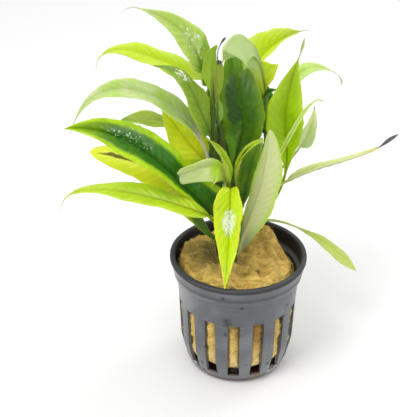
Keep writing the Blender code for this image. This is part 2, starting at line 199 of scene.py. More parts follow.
# The springs are the shares of a leaf's length that hold its first and last stretch, and the twist
# begins at a share of it. The seams beside a stalk begin with a share of their width, grow and taper,
# and a skirt only grows.
FIRST_SPRING, LAST_SPRING = 0.32, 0.40
TWIST_START = 0.72
WING_START, WING_GROWTH, WING_TAPER = 0.2, 5.0, 1.5
SKIRT_GROWTH = 6.0

# How far side veins slant against the blade's shape, how that curves towards the margin, and how much
# later the veins of the left half begin.
SLANT = 1.1
SLANT_CURVE = 1.3
VEIN_OFFSET = 0.4

# How the margins are ragged: how often along the leaf, how deep and where the pattern starts, and how
# ragged a tear is.
RAGGED = ((14.0, 0.07, 40), (45.0, 0.05, 90))
TEAR_DEPTH = 0.05

# How uneven a blade is, how many waves run along a margin, how many more on the next leaf but one, and
# the rows of its mesh: their length, and the fewest and the most of them.
UNEVENNESS = 0.5
WAVES, WAVES_MORE = 2.3, 0.4
ROW_LENGTH, ROW_COUNTS = 0.55, (36, 120)

# A stem is straight from its foot in the plug to its top.
Stem = namedtuple("Stem", "foot top")

STEMS = {
    "left": Stem((-7, 4, 39), (-11.5, 0, 125)),
    "middle": Stem((0, 5, 39), (-7.8, 4.5, 105)),
    "right": Stem((7, 8, 39), (12.5, 20, 107)),
    "front": Stem((-1.5, -3, 39), (-3, -6.5, 86)),
    "back": Stem((-1, 14, 39), (-3, 24, 103)),
}

# A leaf stands on its stem at a height, and its tip lies reach away along azimuth and rise above that.
# lift and fall are the slopes of its first and last stretch, sweep its sideways bend and roll its turn
# about its own midrib, all in degrees. bow is its length against the straight line from end to end.
# widest is where along the blade it is broadest, stalk the share of its length without blade, and point
# how fast it narrows. fold is the slope of both halves away from the midrib and twist the turn of its
# last stretch, in degrees, wing half the width of the seams beside its stalk, and kept the share that
# is not torn off. droop is how much each half bends down towards its margin, in degrees, and wave how
# far the margins wave. skirt is the width that the blade keeps down to its stalk, on its left or, below
# 0, on its right. tail is a thread past the tip.
Leaf = namedtuple(
    "Leaf",
    "stem height azimuth reach rise lift fall width roll sweep bow widest stalk fold point twist wing "
    "kept droop wave skirt tail",
    defaults=(0, 1.0, 0.42, 0.12, 14, 2.7, 0, 0, 1.0, 30, 0.5, 0, None),
)

# A thread's length, the azimuth and slope that it bends to, half the width of its swelling and how near
# to its end that is.
Tail = namedtuple("Tail", "length azimuth slope swelling late", defaults=(0, 1.5))

LEAVES = {
    "left_low": Leaf(
        "left", 55.5, 201, 50, 47, 54, 20, 16.5, -34,
        sweep=-3, bow=1.48, widest=0.61, stalk=0, fold=1, point=1.4, wing=5.5,
    ),
    "left_broad": Leaf(
        "left", 89, 183, 20, 26.5, 49, 62, 14, -63,
        sweep=-10, bow=0.92, widest=0.39, stalk=0.05, fold=13, point=2,
    ),
    "left_arching": Leaf(
        "left", 92, 200, 52.5, 23.5, 77, -65, 10.5, -34,
        sweep=-8, bow=1.26, widest=0.32, stalk=0.13, fold=19, point=1.7, wave=0.7, tail=Tail(5, 200, -72),
    ),
    "left_inner": Leaf(
        "left", 102.5, 201, 22.5, 30, 53, -11, 11, -53,
        sweep=-45, bow=1.09, widest=0.31, stalk=0.03, fold=0, point=1.9, wave=0.7,
    ),
    "left_yellow": Leaf(
        "left", 124, 200, 40.5, 14.5, 9, -11, 10, -34,
        sweep=48, bow=0.9, widest=0.35, stalk=0, fold=6, point=2.3, wave=0.7, tail=Tail(5, 200, -85),
    ),
    "left_crown": Leaf(
        "left", 123, 188, 25.5, 29.5, 88, 16, 11, -61,
        sweep=-6, bow=1.11, widest=0.29, stalk=0.11, point=1.7, tail=Tail(7, 200, -50),
    ),
    "left_upright": Leaf(
        "left", 115.5, 291, 4.5, 23.5, 62, 53, 8, 26,
        sweep=20, bow=0.87, widest=0.6, stalk=0.21, fold=15, point=2,
    ),
    "left_back_low": Leaf("left", 78, 145, 25, 26, 50, 0, 10, 10),
    "front_low": Leaf(
        "front", 67.5, 191, 63.5, 16.5, 38, -55, 10, -22,
        sweep=-50, bow=0.87, widest=0.3, stalk=0.2, fold=9, point=2.5, twist=-26, wave=0.8,
        tail=Tail(6, 205, -80),
    ),
    "front_broad": Leaf(
        "front", 63, 205, 64.5, 57.5, 54, 7, 16.5, -62,
        sweep=13, bow=0.78, widest=0.45, stalk=0.24, fold=36, point=1.9, wing=6, wave=0.7, skirt=-12,
    ),
    "front_torn": Leaf(
        "front", 84, 207, 50.5, 13, 92, 32, 7.5, -87,
        sweep=12, bow=1.4, widest=0.39, stalk=0.13, fold=22, point=2.4, kept=0.56, wave=0.8, droop=4,
        skirt=9,
    ),
    "front_hanging": Leaf(
        "front", 82, 262, 22.5, -29.5, 55, -18, 13.5, 6,
        bow=1.66, widest=0.34, stalk=0.16, fold=35, point=1.5,
    ),
    "front_right": Leaf(
        "front", 53.5, 320, 15.5, 57.5, 79, 92, 13.5, -93,
        sweep=-21, bow=1.01, widest=0.56, stalk=0, fold=23, point=1.4, wave=0.3,
    ),
    "front_young_left": Leaf(
        "front", 85, 203, 11, 21, 69, 28, 6, -38,
        sweep=-30, bow=0.88, widest=0.31, stalk=0.05, fold=44, point=1.8, wave=0.2,
    ),
    "front_young_right": Leaf(
        "front", 85, 355, 11, 18.5, 110, -7, 3, 30,
        sweep=50, bow=1.2, widest=0.62, stalk=0, fold=31, point=1.4, wave=0.2,
    ),
    "middle_shaded": Leaf(
        "middle", 62.5, 341, 11.5, 37.5, 69, 66, 9, 59,
        sweep=12, bow=1.08, widest=0.6, stalk=0.1, fold=20, point=2.3,
    ),
    "middle_upright": Leaf(
        "middle", 79, 86, 13, 48.5, 60, 53, 17.5, 8,
        sweep=25, bow=1.57, widest=0.6, stalk=0.05, fold=17, point=1.5,
    ),
    "middle_olive": Leaf(
        "middle", 97, 201, 2, 33, 40, 78, 6.5, 98,
        sweep=22, bow=1.36, widest=0.7, stalk=0.06, point=1.4, wave=0.3, tail=Tail(10.5, 10, 45, 0.5, 6),
    ),
    "middle_rolled": Leaf(
        "middle", 103, 250, 2, 14, 88, 95, 5, 0,
        stalk=0.1, fold=55, droop=60, wave=0.1,
    ),
    "middle_back": Leaf("middle", 70, 100, 13, 36, 45, 75, 13, 0),
    "right_over_rim": Leaf(
        "right", 57, 367, 42, -27, -20, -36, 11.5, 8,
        sweep=-37, bow=1.07, widest=0.73, stalk=0.32, fold=0, point=3.5, wave=0.3,
    ),
    "right_withered": Leaf(
        "right", 68.5, 370, 54.5, 22, 57, 14, 5, 3,
        sweep=34, bow=1.13, widest=0.25, stalk=0.2, fold=44, point=1.7, kept=0.84, droop=60,
        tail=Tail(11.9, 45, 14, 1.2, 1.1),
    ),
    "right_tall": Leaf(
        "right", 60, -4, 12.5, 68, 58, 74, 17.5, 84,
        sweep=-16, bow=1.45, widest=0.68, stalk=0.15, fold=34, point=3.9, wave=0.8,
        tail=Tail(8, 20, 80, 0.5),
    ),
    "right_edge": Leaf("right", 81, 347, 21, 29.5, 11, -38, 2, 60, sweep=65, bow=1.17, wave=0.2),
    "right_dark": Leaf(
        "right", 93, 290, 6.5, 22, 67, 22, 6, 57,
        sweep=31, bow=1.13, widest=0.55, stalk=0.13, fold=22, point=2.6, wave=0.2,
    ),
    "right_olive": Leaf(
        "right", 96.5, 127, 1, 49, 47, 95, 16.5, -11,
        sweep=-40, bow=1.17, widest=0.45, stalk=0.2, fold=20, kept=0.62, wave=0.3,
    ),
    "right_hood": Leaf(
        "right", 104.5, 233, 32.5, 33.5, 89, -22, 24.5, 185,
        sweep=17, bow=1.28, widest=0.69, stalk=0.26, fold=64, point=3.2, droop=8, skirt=11,
    ),
    "right_arching": Leaf(
        "right", 96, 21, 26.5, 19, 81, -32, 6, 33,
        bow=1.48, widest=0.52, fold=15, point=2.4, wave=0.4, tail=Tail(8, 350, -80, 0.8, 3),
    ),
    "right_pale": Leaf(
        "right", 74.5, 20, 20.5, 28.5, 38, 91, 7, 80,
        sweep=3, bow=1.01, widest=0.22, stalk=0.53, fold=18, point=1.3,
    ),
    "right_back_low": Leaf("right", 53, 85, 30, 25, 65, 0, 11, 0),
    "right_back_high": Leaf("right", 88, 100, 20, 22, 70, 5, 10, 0),
    "back_left": Leaf(
        "back", 81.5, 200, 45.5, 23.5, 51, 2, 11, -4,
        sweep=15, bow=0.91, widest=0.64, stalk=0.14, fold=1, point=2.8, wave=0.7,
    ),
    "back_crown": Leaf(
        "back", 96.5, 11, 26.5, 35, 66, 25, 19.5, 25,
        sweep=-43, bow=1.01, widest=0.43, stalk=0.13, fold=44, point=2, tail=Tail(3, 0, 5),
    ),
    "back_low": Leaf("back", 56, 90, 38, 10, 50, -35, 13, 0),
    "back_low_left": Leaf("back", 62, 140, 38, 26, 55, -10, 12, 10),
    "back_low_right": Leaf("back", 68, 50, 24, 30, 65, 20, 11, 0),
    "back_middle": Leaf("back", 84, 105, 28, 18, 60, -20, 12, 0),
    "back_upper": Leaf("back", 92, 140, 18, 26, 75, 20, 11, 0),
}

# Colours of a leaf as they look in daylight: blade, margin, the part near the stalk, tip, midrib and
# underside.
Tint = namedtuple("Tint", "blade margin heel tip rib under")

TINTS = {
    "lime": Tint(
        (172, 216, 14), (188, 224, 60), (120, 160, 14),
        (190, 222, 90), (122, 96, 30), (184, 210, 120),
    ),
    "yellow": Tint(
        (200, 230, 34), (206, 234, 70), (178, 206, 20),
        (190, 214, 90), (196, 214, 60), (206, 224, 110),
    ),
    "gold": Tint(
        (212, 224, 40), (202, 220, 50), (150, 184, 30),
        (206, 226, 60), (180, 170, 60), (200, 214, 120),
    ),
    "blush": Tint(
        (166, 204, 84), (184, 214, 116), (240, 230, 226),
        (190, 212, 150), (255, 246, 246), (180, 206, 130),
    ),
    "soft": Tint(
        (166, 204, 84), (176, 210, 104), (140, 184, 30),
        (190, 212, 150), (140, 178, 70), (180, 206, 130),
    ),
    "grass": Tint(
        (128, 168, 26), (150, 190, 40), (96, 140, 16),
        (100, 150, 60), (60, 84, 14), (150, 184, 90),
    ),
    "deep": Tint(
        (44, 106, 24), (84, 142, 22), (34, 84, 22),
        (74, 134, 34), (30, 70, 22), (120, 156, 90),
    ),
    "banded": Tint(
        (42, 112, 28), (158, 202, 20), (34, 88, 26),
        (168, 206, 30), (30, 84, 26), (150, 184, 90),
    ),
    "olive": Tint(
        (160, 190, 52), (172, 202, 70), (140, 160, 60),
        (120, 140, 60), (124, 84, 62), (170, 194, 100),
    ),
    "hood": Tint(
        (176, 198, 136), (158, 204, 60), (200, 214, 6),
        (206, 220, 150), (120, 96, 62), (178, 200, 140),
    ),
    "scrap": Tint(
        (176, 198, 136), (190, 212, 140), (176, 212, 20),
        (206, 220, 150), (170, 190, 120), (178, 200, 140),
    ),
    "pale": Tint(
        (176, 198, 136), (158, 204, 60), (130, 156, 110),
        (206, 220, 150), (160, 186, 110), (178, 200, 140),
    ),
    "faded": Tint(
        (196, 222, 110), (206, 228, 130), (160, 196, 60),
        (214, 230, 150), (180, 206, 90), (196, 216, 130),
    ),
}

# Daylight colours of a dried thread, a dry end and a withered end.
THREAD = (186, 192, 176)
STRAW = (226, 222, 140)
ASH = (96, 92, 92)

# How a leaf is coloured. gain is how much more red, green and blue it has than its tint, partly its own
# colour and partly painted light: the glow of light through the leaf and the shade on it. band is the
# share of the half width where the margin's colour begins and where it is full. wet is a glossy patch with
# painted glints, and the coloured patches after it are stains and one painted shadow: their share, place
# across from -1 to 1, and half sizes in those units, then how densely glints are painted or the patch's
# colour. mottle is how blotchy and streaky the blade is. dry is the share from which the leaf is straw,
# and black the share from which it is withered dark.
Look = namedtuple(
    "Look", "tint gain band wet stains mottle dry black",
    defaults=((1, 1, 1), (0.7, 1.0), None, (), 1.0, 1.2, 1.2),
)

LOOKS = {
    "left_low": Look("gold", (1.35, 1.2, 1.3), stains=(
        (0.9, -0.1, 0.09, 0.2, (84, 58, 24)), (0.08, 0.0, 0.22, 1.8, (66, 122, 16)),
    )),
    "front_torn": Look("scrap", (1.2, 1.12, 1.05), stains=((0.24, 0.0, 0.1, 1.6, (186, 220, 40)),)),
    "left_broad": Look("gold", (1.35, 1.25, 0.8)),
    "left_arching": Look("blush", (1.1, 1.0, 1.1)),
    "left_inner": Look("grass", (1.1, 0.95, 1.1), wet=(0.72, -0.3, 0.13, 0.6, 0.16)),
    "left_yellow": Look("yellow", (1.05, 1, 0.7)),
    "left_crown": Look("soft", (1.15, 1, 1), wet=(0.42, -0.1, 0.24, 0.8, 0.12)),
    "left_upright": Look("grass", (1.05, 1.0, 0.25)),
    "left_back_low": Look("grass"),
    "front_low": Look("lime", (1.25, 1.05, 1)),
    "front_broad": Look(
        "banded", (1.5, 1.3, 0.7), band=(0.62, 0.84), wet=(0.7, -0.25, 0.16, 0.6, 0.09), mottle=0.3,
    ),
    "front_hanging": Look("lime", (1.4, 1.15, 0.4), wet=(0.55, 0.0, 0.14, 0.8, 0.26)),
    "front_right": Look("pale", (1.4, 1.15, 1.25), band=(0.6, 0.95)),
    "front_young_left": Look("lime", (0.9, 0.8, 0.4)),
    "front_young_right": Look("lime", (0.9, 0.8, 0.4), stains=((0.6, 0.0, 0.2, 0.6, (92, 62, 24)),)),
    "middle_shaded": Look("deep", (2.8, 1.4, 1.1)),
    # The first patch on middle_upright is a dark green painted shadow of the hood over it.
    "middle_upright": Look("deep", (2.0, 1.2, 0.15), (0.5, 0.95), stains=(
        (0.7, 0.35, 0.26, 0.42, (36, 76, 8)), (0.24, 0.8, 0.18, 0.7, (112, 168, 24)),
    )),
    "middle_olive": Look("olive", (0.9, 0.85, 0.4), black=0.95),
    "middle_rolled": Look("grass"),
    "middle_back": Look("deep"),
    "right_over_rim": Look("faded", (0.9, 0.85, 0.6)),
    "right_withered": Look("faded", (1.2, 1, 1.9), dry=0.84, black=0.84),
    "right_tall": Look("lime", (0.98, 0.92, 0.38)),
    "right_edge": Look("faded"),
    "right_dark": Look("deep"),
    "right_olive": Look("olive", (2.0, 1.75, 0.85)),
    "right_hood": Look("hood", (1.1, 1.1, 0.95), band=(0.9, 1.1)),
    "right_arching": Look("faded"),
    "right_pale": Look("pale", (1.5, 1.3, 1.6), band=(0.85, 1.05), black=0.97),
    "right_back_low": Look("grass"),
    "right_back_high": Look("deep"),
    "back_left": Look("grass", (1.5, 1.1, 0.6)),
    "back_crown": Look("yellow", (1.05, 0.95, 1.2), wet=(0.33, 0.3, 0.14, 0.6, 0.2)),
    "back_low": Look("lime"),
    "back_low_left": Look("deep"),
    "back_low_right": Look("grass"),
    "back_middle": Look("deep"),
    "back_upper": Look("lime"),
}

# The tints of each of the record's material slots.
TINTS_OF_SLOT = {
    "leaf_bright": ("lime", "yellow", "gold", "soft", "blush", "grass"),
    "leaf_deep": ("deep", "banded"),
    "leaf_olive": ("olive",),
    "leaf_pale": ("scrap", "hood", "pale", "faded"),
}
SLOT_OF_TINT = {tint: slot for slot, tints in TINTS_OF_SLOT.items() for tint in tints}


def length_setting(name, description, millimetres):
    """A length that a user may change."""
    return FloatProperty(
        name=name, description=description, default=millimetres * MM, min=0.0, precision=5,
        unit="LENGTH", subtype="DISTANCE",
    )


def colour_setting(name, description, colour):
    """A linear colour that a user may change."""
    return FloatVectorProperty(
        name=name, description=description, default=colour, min=0.0, max=1.0, subtype="COLOR",
    )


def number_setting(name, description, default, subtype="NONE"):
    """A plain number that a user may change."""
    return FloatProperty(name=name, description=description, default=default, min=0.0, subtype=subtype)


class PotSettings(bpy.types.PropertyGroup):
    """Sizes and finish of the net pot."""

    height: length_setting("Height", "Height of the pot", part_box("net_pot")[1].z / MM)
    rim_radius: length_setting("Rim radius", "Outer radius of the rim", 27.0)
    mouth_radius: length_setting("Mouth radius", "Inner radius of the rim", 24.9)
    collar: length_setting("Collar", "Depth of the collar under the rim", 8.5)
    slot_width: length_setting("Slot width", "Width of the slots in the wall", 4.6)
    edge: length_setting("Edge", "Width of the rounding on the edges", 0.22)
    colour: colour_setting("Plastic", "Colour of the plastic", (0.096, 0.100, 0.112))
    roughness: number_setting("Roughness", "Roughness of the plastic", 0.36, "FACTOR")


class PlugSettings(bpy.types.PropertyGroup):
    """Colours and fibres of the rockwool."""

    light: colour_setting("Light", "Colour of the fibres that stand out", (0.98, 0.70, 0.19))
    dark: colour_setting("Dark", "Colour of the hollows", (0.52, 0.34, 0.08))
    fibres: number_setting("Fibres", "Number of loose fibres on a square centimetre", 40.0)
    fibre_length: length_setting("Fibre length", "Usual length of a loose fibre", 3.2)
    fibre_radius: length_setting("Fibre radius", "Radius of a loose fibre", 0.045)
    seed: IntProperty(name="Seed", description="Seed of the loose fibres", default=7)


class StemSettings(bpy.types.PropertyGroup):
    """Size and colours of the stems."""

    radius: length_setting("Radius", "Radius of a stem between its nodes", STEM_RADIUS)
    colour: colour_setting("Stem", "Colour between the nodes", (0.044, 0.084, 0.008))
    node_colour: colour_setting("Node", "Colour at the nodes", (0.10, 0.07, 0.03))


class LeafSettings(bpy.types.PropertyGroup):
    """Relief and finish that all leaves share."""

    thickness: length_setting("Thickness", "Thickness of the blade beside the midrib", 0.34)
    rib_depth: length_setting("Midrib", "How far the midrib stands out below", 0.75)
    quilting: length_setting("Quilting", "How far the blade bulges between its veins", 0.3)
    vein_spacing: length_setting("Vein spacing", "Distance between side veins along the midrib", 3.6)
    roughness: number_setting("Roughness", "Roughness of the upper face", 0.38, "FACTOR")
    glow: number_setting("Glow", "Share of light that passes into the leaf", 0.4, "FACTOR")


class StageSettings(bpy.types.PropertyGroup):
    """Floor and light."""

    floor: colour_setting("Floor", "Colour of the floor", (0.96, 0.96, 0.96))
    sky: number_setting("Sky", "Strength of the light from all sides", 0.8)
    key: number_setting("Key", "Power of the large soft light in watts", 1.7)
    glint: number_setting("Glint", "Power of each small light that glints in watts", 1.6)


class Wire:
    """A value on its way through a node tree. Python's operators on it add Math nodes."""

    def __init__(self, nodes, socket):
        self.nodes = nodes
        self.socket = socket

    def __add__(self, other):
        return self.nodes.maths("ADD", self, other)

    def __radd__(self, other):
        return self.nodes.maths("ADD", other, self)

    def __sub__(self, other):
        return self.nodes.maths("SUBTRACT", self, other)

    def __rsub__(self, other):
        return self.nodes.maths("SUBTRACT", other, self)

    def __mul__(self, other):
        return self.nodes.maths("MULTIPLY", self, other)

    def __rmul__(self, other):
        return self.nodes.maths("MULTIPLY", other, self)

    def __truediv__(self, other):
        return self.nodes.maths("DIVIDE", self, other)

    def __rtruediv__(self, other):
        return self.nodes.maths("DIVIDE", other, self)

    def __pow__(self, other):
        return self.nodes.maths("POWER", self, other)

    def __rpow__(self, other):
        return self.nodes.maths("POWER", other, self)

    def __abs__(self):
        return self.nodes.maths("ABSOLUTE", self)


class Nodes:
    """A node tree that is being filled."""

    def __init__(self, tree):
        self.tree = tree
        self.tree.nodes.clear()

    def add(self, kind, settings=None, inputs=None, output=0):
        """Add a node with its settings, then its inputs by identifier, and give one of its outputs."""
        node = self.tree.nodes.new(kind)
        for key, value in (settings or {}).items():
            setattr(node, key, value)
        for key, value in (inputs or {}).items():
            socket = next(s for s in node.inputs if s.identifier == key)
            if isinstance(value, Wire):
                self.tree.links.new(value.socket, socket)
            else:
                socket.default_value = value
        if isinstance(output, str):
            return self.outlet(node, output)
        shown = [s for s in node.outputs if s.enabled]
        return Wire(self, shown[output]) if shown else node

    def outlet(self, node, identifier):
        """One of a node's outputs."""
        return Wire(self, next(s for s in node.outputs if s.identifier == identifier))

    def maths(self, operation, first, second=0.0):
        """A Math node on one or two values."""
        return self.add("ShaderNodeMath", {"operation": operation}, {"Value": first, "Value_001": second})

    def larger(self, first, second):
        """The larger of two values."""
        return self.maths("MAXIMUM", first, second)

    def step(self, value, low, high):
        """0 below low, 1 above high and smooth between them, or the other way round."""
        return self.add(
            "ShaderNodeMapRange", {"interpolation_type": "SMOOTHSTEP"},
            {"Value": value, "From Min": low, "From Max": high, "To Min": 0.0, "To Max": 1.0},
        )

    def between(self, value, ends):
        """0 at the first of two ends that are given in millimetres, and 1 at the second."""
        low, high = ends
        return self.step(value, low * MM, high * MM)

    def near(self, away, mark):
        """1 in the middle of a mark and 0 beyond its reach."""
        return self.step(away, mark.reach * MM, mark.reach * MM * 0.3)

    def mix(self, factor, first, second):
        """One colour blended into another."""
        first, second = (c if isinstance(c, Wire) else (*c, 1.0) for c in (first, second))
        return self.add(
            "ShaderNodeMix", {"data_type": "RGBA"},
            {"Factor_Float": factor, "A_Color": first, "B_Color": second}, "Result_Color",
        )

    def place(self):
        """Where a point of the piece lies, in metres."""
        return self.add("ShaderNodeTexCoord", {}, {}, "Object")

    def axis(self, vector, letter):
        """One coordinate of a vector."""
        return self.add("ShaderNodeSeparateXYZ", {}, {"Vector": vector}, letter)

    def mark(self, name):
        """The value that the mesh carries under a name."""
        return self.add("ShaderNodeAttribute", {"attribute_name": name}, {}, "Fac")

    def noise(self, place, scale, detail=2.0, distortion=0.0):
        """A noise value round 0.5."""
        return self.add(
            "ShaderNodeTexNoise", {},
            {"Vector": place, "Scale": scale, "Detail": detail, "Distortion": distortion}, "Fac",
        )

    def cells(self, place, scale, feature="F1"):
        """How far a place lies from the middle of its cell."""
        inputs = {"Vector": place, "Scale": scale}
        return self.add("ShaderNodeTexVoronoi", {"feature": feature}, inputs, "Distance")

    def stretched(self, place, scale):
        """A place scaled differently along each axis."""
        return self.add("ShaderNodeMapping", {}, {"Vector": place, "Scale": scale})

    def streaks(self, place, scale, detail, distortion=0.0):
        """Noise that is scaled differently along each axis."""
        return self.noise(self.stretched(place, scale), 1.0, detail, distortion)

    def radius(self, place):
        """How far a place lies from the pot's axis."""
        flat = self.stretched(place, (1.0, 1.0, 0.0))
        return self.add("ShaderNodeVectorMath", {"operation": "LENGTH"}, {"Vector": flat}, "Value")

    def away(self, place, spot):
        """How far a place lies from a spot that is given in millimetres."""
        ends = {"Vector": place, "Vector_001": [c * MM for c in spot]}
        return self.add("ShaderNodeVectorMath", {"operation": "DISTANCE"}, ends, "Value")

    def bumped(self, height, distance):
        """A normal from a height, with the distance that a height of 1 stands for."""
        return self.add("ShaderNodeBump", {}, {"Height": height, "Distance": distance})


def daylight(colour):
    """A colour given as it looks in daylight, made linear."""
    return tuple(c / 255 / 12.92 if c <= 10 else ((c / 255 + 0.055) / 1.055) ** 2.4 for c in colour)


def gained(colour, gain):
    """A linear colour with more or less of its red, green and blue."""
    return tuple(min(1.0, c * g) for c, g in zip(colour, gain))


def new_material(name):
    """An empty node material and its node tree."""
    material = bpy.data.materials.new(name)
    material.use_nodes = True
    return material, Nodes(material.node_tree)


def surface(nodes, inputs):
    """End a material in one Principled shader."""
    shader = nodes.add("ShaderNodeBsdfPrincipled", {}, inputs)
    nodes.add("ShaderNodeOutputMaterial", {}, {"Surface": shader})


def plastic_material(look):
    """Satin black moulded plastic with fine scuffs, dull marks and a few dark specks, painted shade inside
    and painted sheen and highlights on its worn foot.
    """
    material, nodes = new_material("net_pot_plastic")
    place = nodes.place()
    radius = nodes.radius(place)
    height = nodes.axis(place, "Z")
    grain = nodes.noise(place, 2600.0, 3.0)
    cloud = nodes.noise(place, 70.0, 6.0, 0.6)
    scuff = nodes.step(nodes.streaks(place, (60.0, 60.0, 900.0), 5.0, 0.4), 0.58, 0.76)
    speck = nodes.step(nodes.cells(place, 150.0), 0.16, 0.10)
    foot = nodes.between(height + (cloud - 0.5) * 20.0 * MM, FOOT_HEIGHTS)
    in_collar, in_wall, den = (
        nodes.between(radius, shade.radii) * nodes.between(height, shade.heights)
        for shade in (COLLAR_SHADE, WALL_SHADE, DEN_SHADE)
    )
    dark = nodes.larger(nodes.larger(in_collar, in_wall), nodes.between(height, LIP_HEIGHTS) * 0.9)

    worn = tuple(c * 1.7 + 0.01 for c in look.colour)
    tone = nodes.mix(nodes.step(cloud, 0.35, 0.7) * 0.7, look.colour, worn)
    # The foot is paler: partly wear and partly painted sheen.
    tone = nodes.mix(foot * 0.35, tone, RUBBED_AND_SHEEN_PLASTIC)
    tone = nodes.mix(scuff * (foot * 0.4 + 0.3), tone, SCUFFED_PLASTIC)
    tone = nodes.mix(speck * 0.8, tone, SPECK)
    # Painted shade inside the collar and wall, the lip darkened too, and red-brown under the rockwool.
    tone = nodes.mix(dark * 0.92, tone, SHADED_PLASTIC)
    tone = nodes.mix(den * 0.9, tone, DEN)
    flecks = nodes.streaks(place, (500.0, 500.0, 800.0), 4.0, 0.3)
    # A brown stain, two painted highlights near the foot and two dark specks.
    for mark in POT_MARKS:
        near = nodes.near(nodes.away(place, mark.place), mark)
        tone = nodes.mix(near * nodes.step(flecks + near * 0.12, 0.52, 0.60) * 0.9, tone, mark.colour)
    surface(nodes, {
        "Base Color": tone,
        "Roughness": look.roughness + (cloud - 0.5) * 0.3 + scuff * 0.15 + dark * 0.3,
        "Normal": nodes.bumped(grain * 0.25 + cloud * 0.6 + scuff * 0.2, 0.12 * MM),
        "Specular IOR Level": 0.55, "Coat Roughness": 0.16,
        "Coat Weight": nodes.step(cloud, 0.45, 0.7) * 0.6 * (1.0 - dark),
    })
    return material


def rockwool_colour(nodes, look, place):
    """Colour of the rockwool in soft clouds and fine strands, and the strands."""
    cloud = nodes.noise(place, 110.0, 3.0)
    strand = nodes.streaks(place, (240.0, 700.0, 900.0), 4.0, 0.7)
    tone = nodes.mix(nodes.step(strand, 0.3, 0.68), look.dark, look.light)
    return nodes.mix(nodes.step(cloud, 0.5, 0.75) * 0.55, tone, AMBER_WOOL), strand


def rockwool_material(look):
    """Matt rockwool with painted shade in its hollows and its middle, and paler at its foot."""
    material, nodes = new_material("rockwool")
    place = nodes.place()
    tone, strand = rockwool_colour(nodes, look, place)
    ahead, height = nodes.axis(place, "Y"), nodes.axis(place, "Z")
    middle = nodes.between(ahead, WOOL_FRONT) * nodes.between(ahead, WOOL_BACK)
    # Painted shade in the lumps' hollows and in the middle under the leaves.
    tone = nodes.mix(nodes.mark("depth") * 0.55, tone, [c * 0.5 for c in look.dark])
    tone = nodes.mix(middle * 0.2, tone, BROWN_WOOL)
    tone = nodes.mix(nodes.between(height, WOOL_SIDE) * 0.3, tone, SIDE_WOOL)
    tone = nodes.mix(nodes.between(height, WOOL_FOOT) * 0.35, tone, CREAM_WOOL)
    ragged = (nodes.noise(place, 180.0, 3.0) - 0.5) * 10.0 * MM
    # Brown marks, the first of them olive-brown painted shade under the leaves.
    for mark in PLUG_MARKS:
        near = nodes.near(nodes.away(place, mark.place) + ragged, mark)
        tone = nodes.mix(near * 0.85, tone, mark.colour)
    fine = nodes.noise(place, 1400.0, 4.0)
    surface(nodes, {
        "Base Color": tone, "Roughness": 0.95, "Specular IOR Level": 0.2,
        "Normal": nodes.bumped(strand + fine * 0.6, 0.45 * MM),
    })
    return material


def fibre_material(look):
    """Glassy golden fibres."""
    material, nodes = new_material("rockwool_fibre")
    tone = rockwool_colour(nodes, look, nodes.place())[0]
    tone = nodes.mix(0.45, tone, look.light)
    surface(nodes, {"Base Color": tone, "Roughness": 0.55, "Specular IOR Level": 0.4})
    return material


def stem_material(look):
    """Olive stems with fine ribs along them, red-brown at the nodes."""
    material, nodes = new_material("stem_skin")
    place = nodes.place()
    streak = nodes.streaks(place, (1500.0, 1500.0, 60.0), 3.0)
    cloud = nodes.noise(place, 160.0)
    bright = tuple(c * 1.9 for c in look.colour)
    tone = nodes.mix(nodes.step(streak, 0.35, 0.7), look.colour, bright)
    tone = nodes.mix(nodes.mark("node") * cloud * 0.7, tone, look.node_colour)
    surface(nodes, {
        "Base Color": tone, "Roughness": 0.42 + cloud * 0.2, "Specular IOR Level": 0.25,
        "Normal": nodes.bumped(streak, 0.2 * MM),
        "Subsurface Weight": 0.2, "Subsurface Radius": (0.6, 1.0, 0.2), "Subsurface Scale": 0.6 * MM,
    })
    return material


def leaf_patch(nodes, share, across, spot):
    """1 in the middle of an oval patch on the leaf and 0 outside it."""
    at, aside, long, wide = spot
    off_share = (share - at) / long
    off_side = (across - aside) / wide
    return nodes.step(off_share * off_share + off_side * off_side, 1.0, 0.2)


# The patterns that a leaf's colours and finish share: its place, its chart as share and across, the side
# as share of the half width, its two marks, noises from coarse to fine, streaks and side veins.
Patterns = namedtuple("Patterns", "place share across side upper rib cloud blotch cells fibre vein")


def leaf_patterns(nodes, veins, slant):
    """The patterns of a leaf with a number of side veins that slant towards its tip."""
    place = nodes.place()
    chart = nodes.add("ShaderNodeUVMap", {"uv_map": "leaf"})
    share = nodes.axis(chart, "X")
    across = nodes.axis(chart, "Y") * 2.0 - 1.0
    side = abs(across)
    later = nodes.step(across, -0.01, 0.01) * VEIN_OFFSET
    vein_place = (share - slant * side ** SLANT_CURVE) * veins + later
    vein = nodes.step(abs(nodes.maths("FRACT", vein_place) * 2.0 - 1.0), 0.86, 1.0)
    return Patterns(
        place, share, across, side, nodes.mark("upper"), nodes.mark("rib"), nodes.noise(place, 130.0, 3.0),
        nodes.noise(place, 260.0, 4.0, 0.8), nodes.noise(place, 1500.0, 3.0),
        nodes.streaks(chart, (9.0, 60.0, 1.0), 3.0), vein,
    )


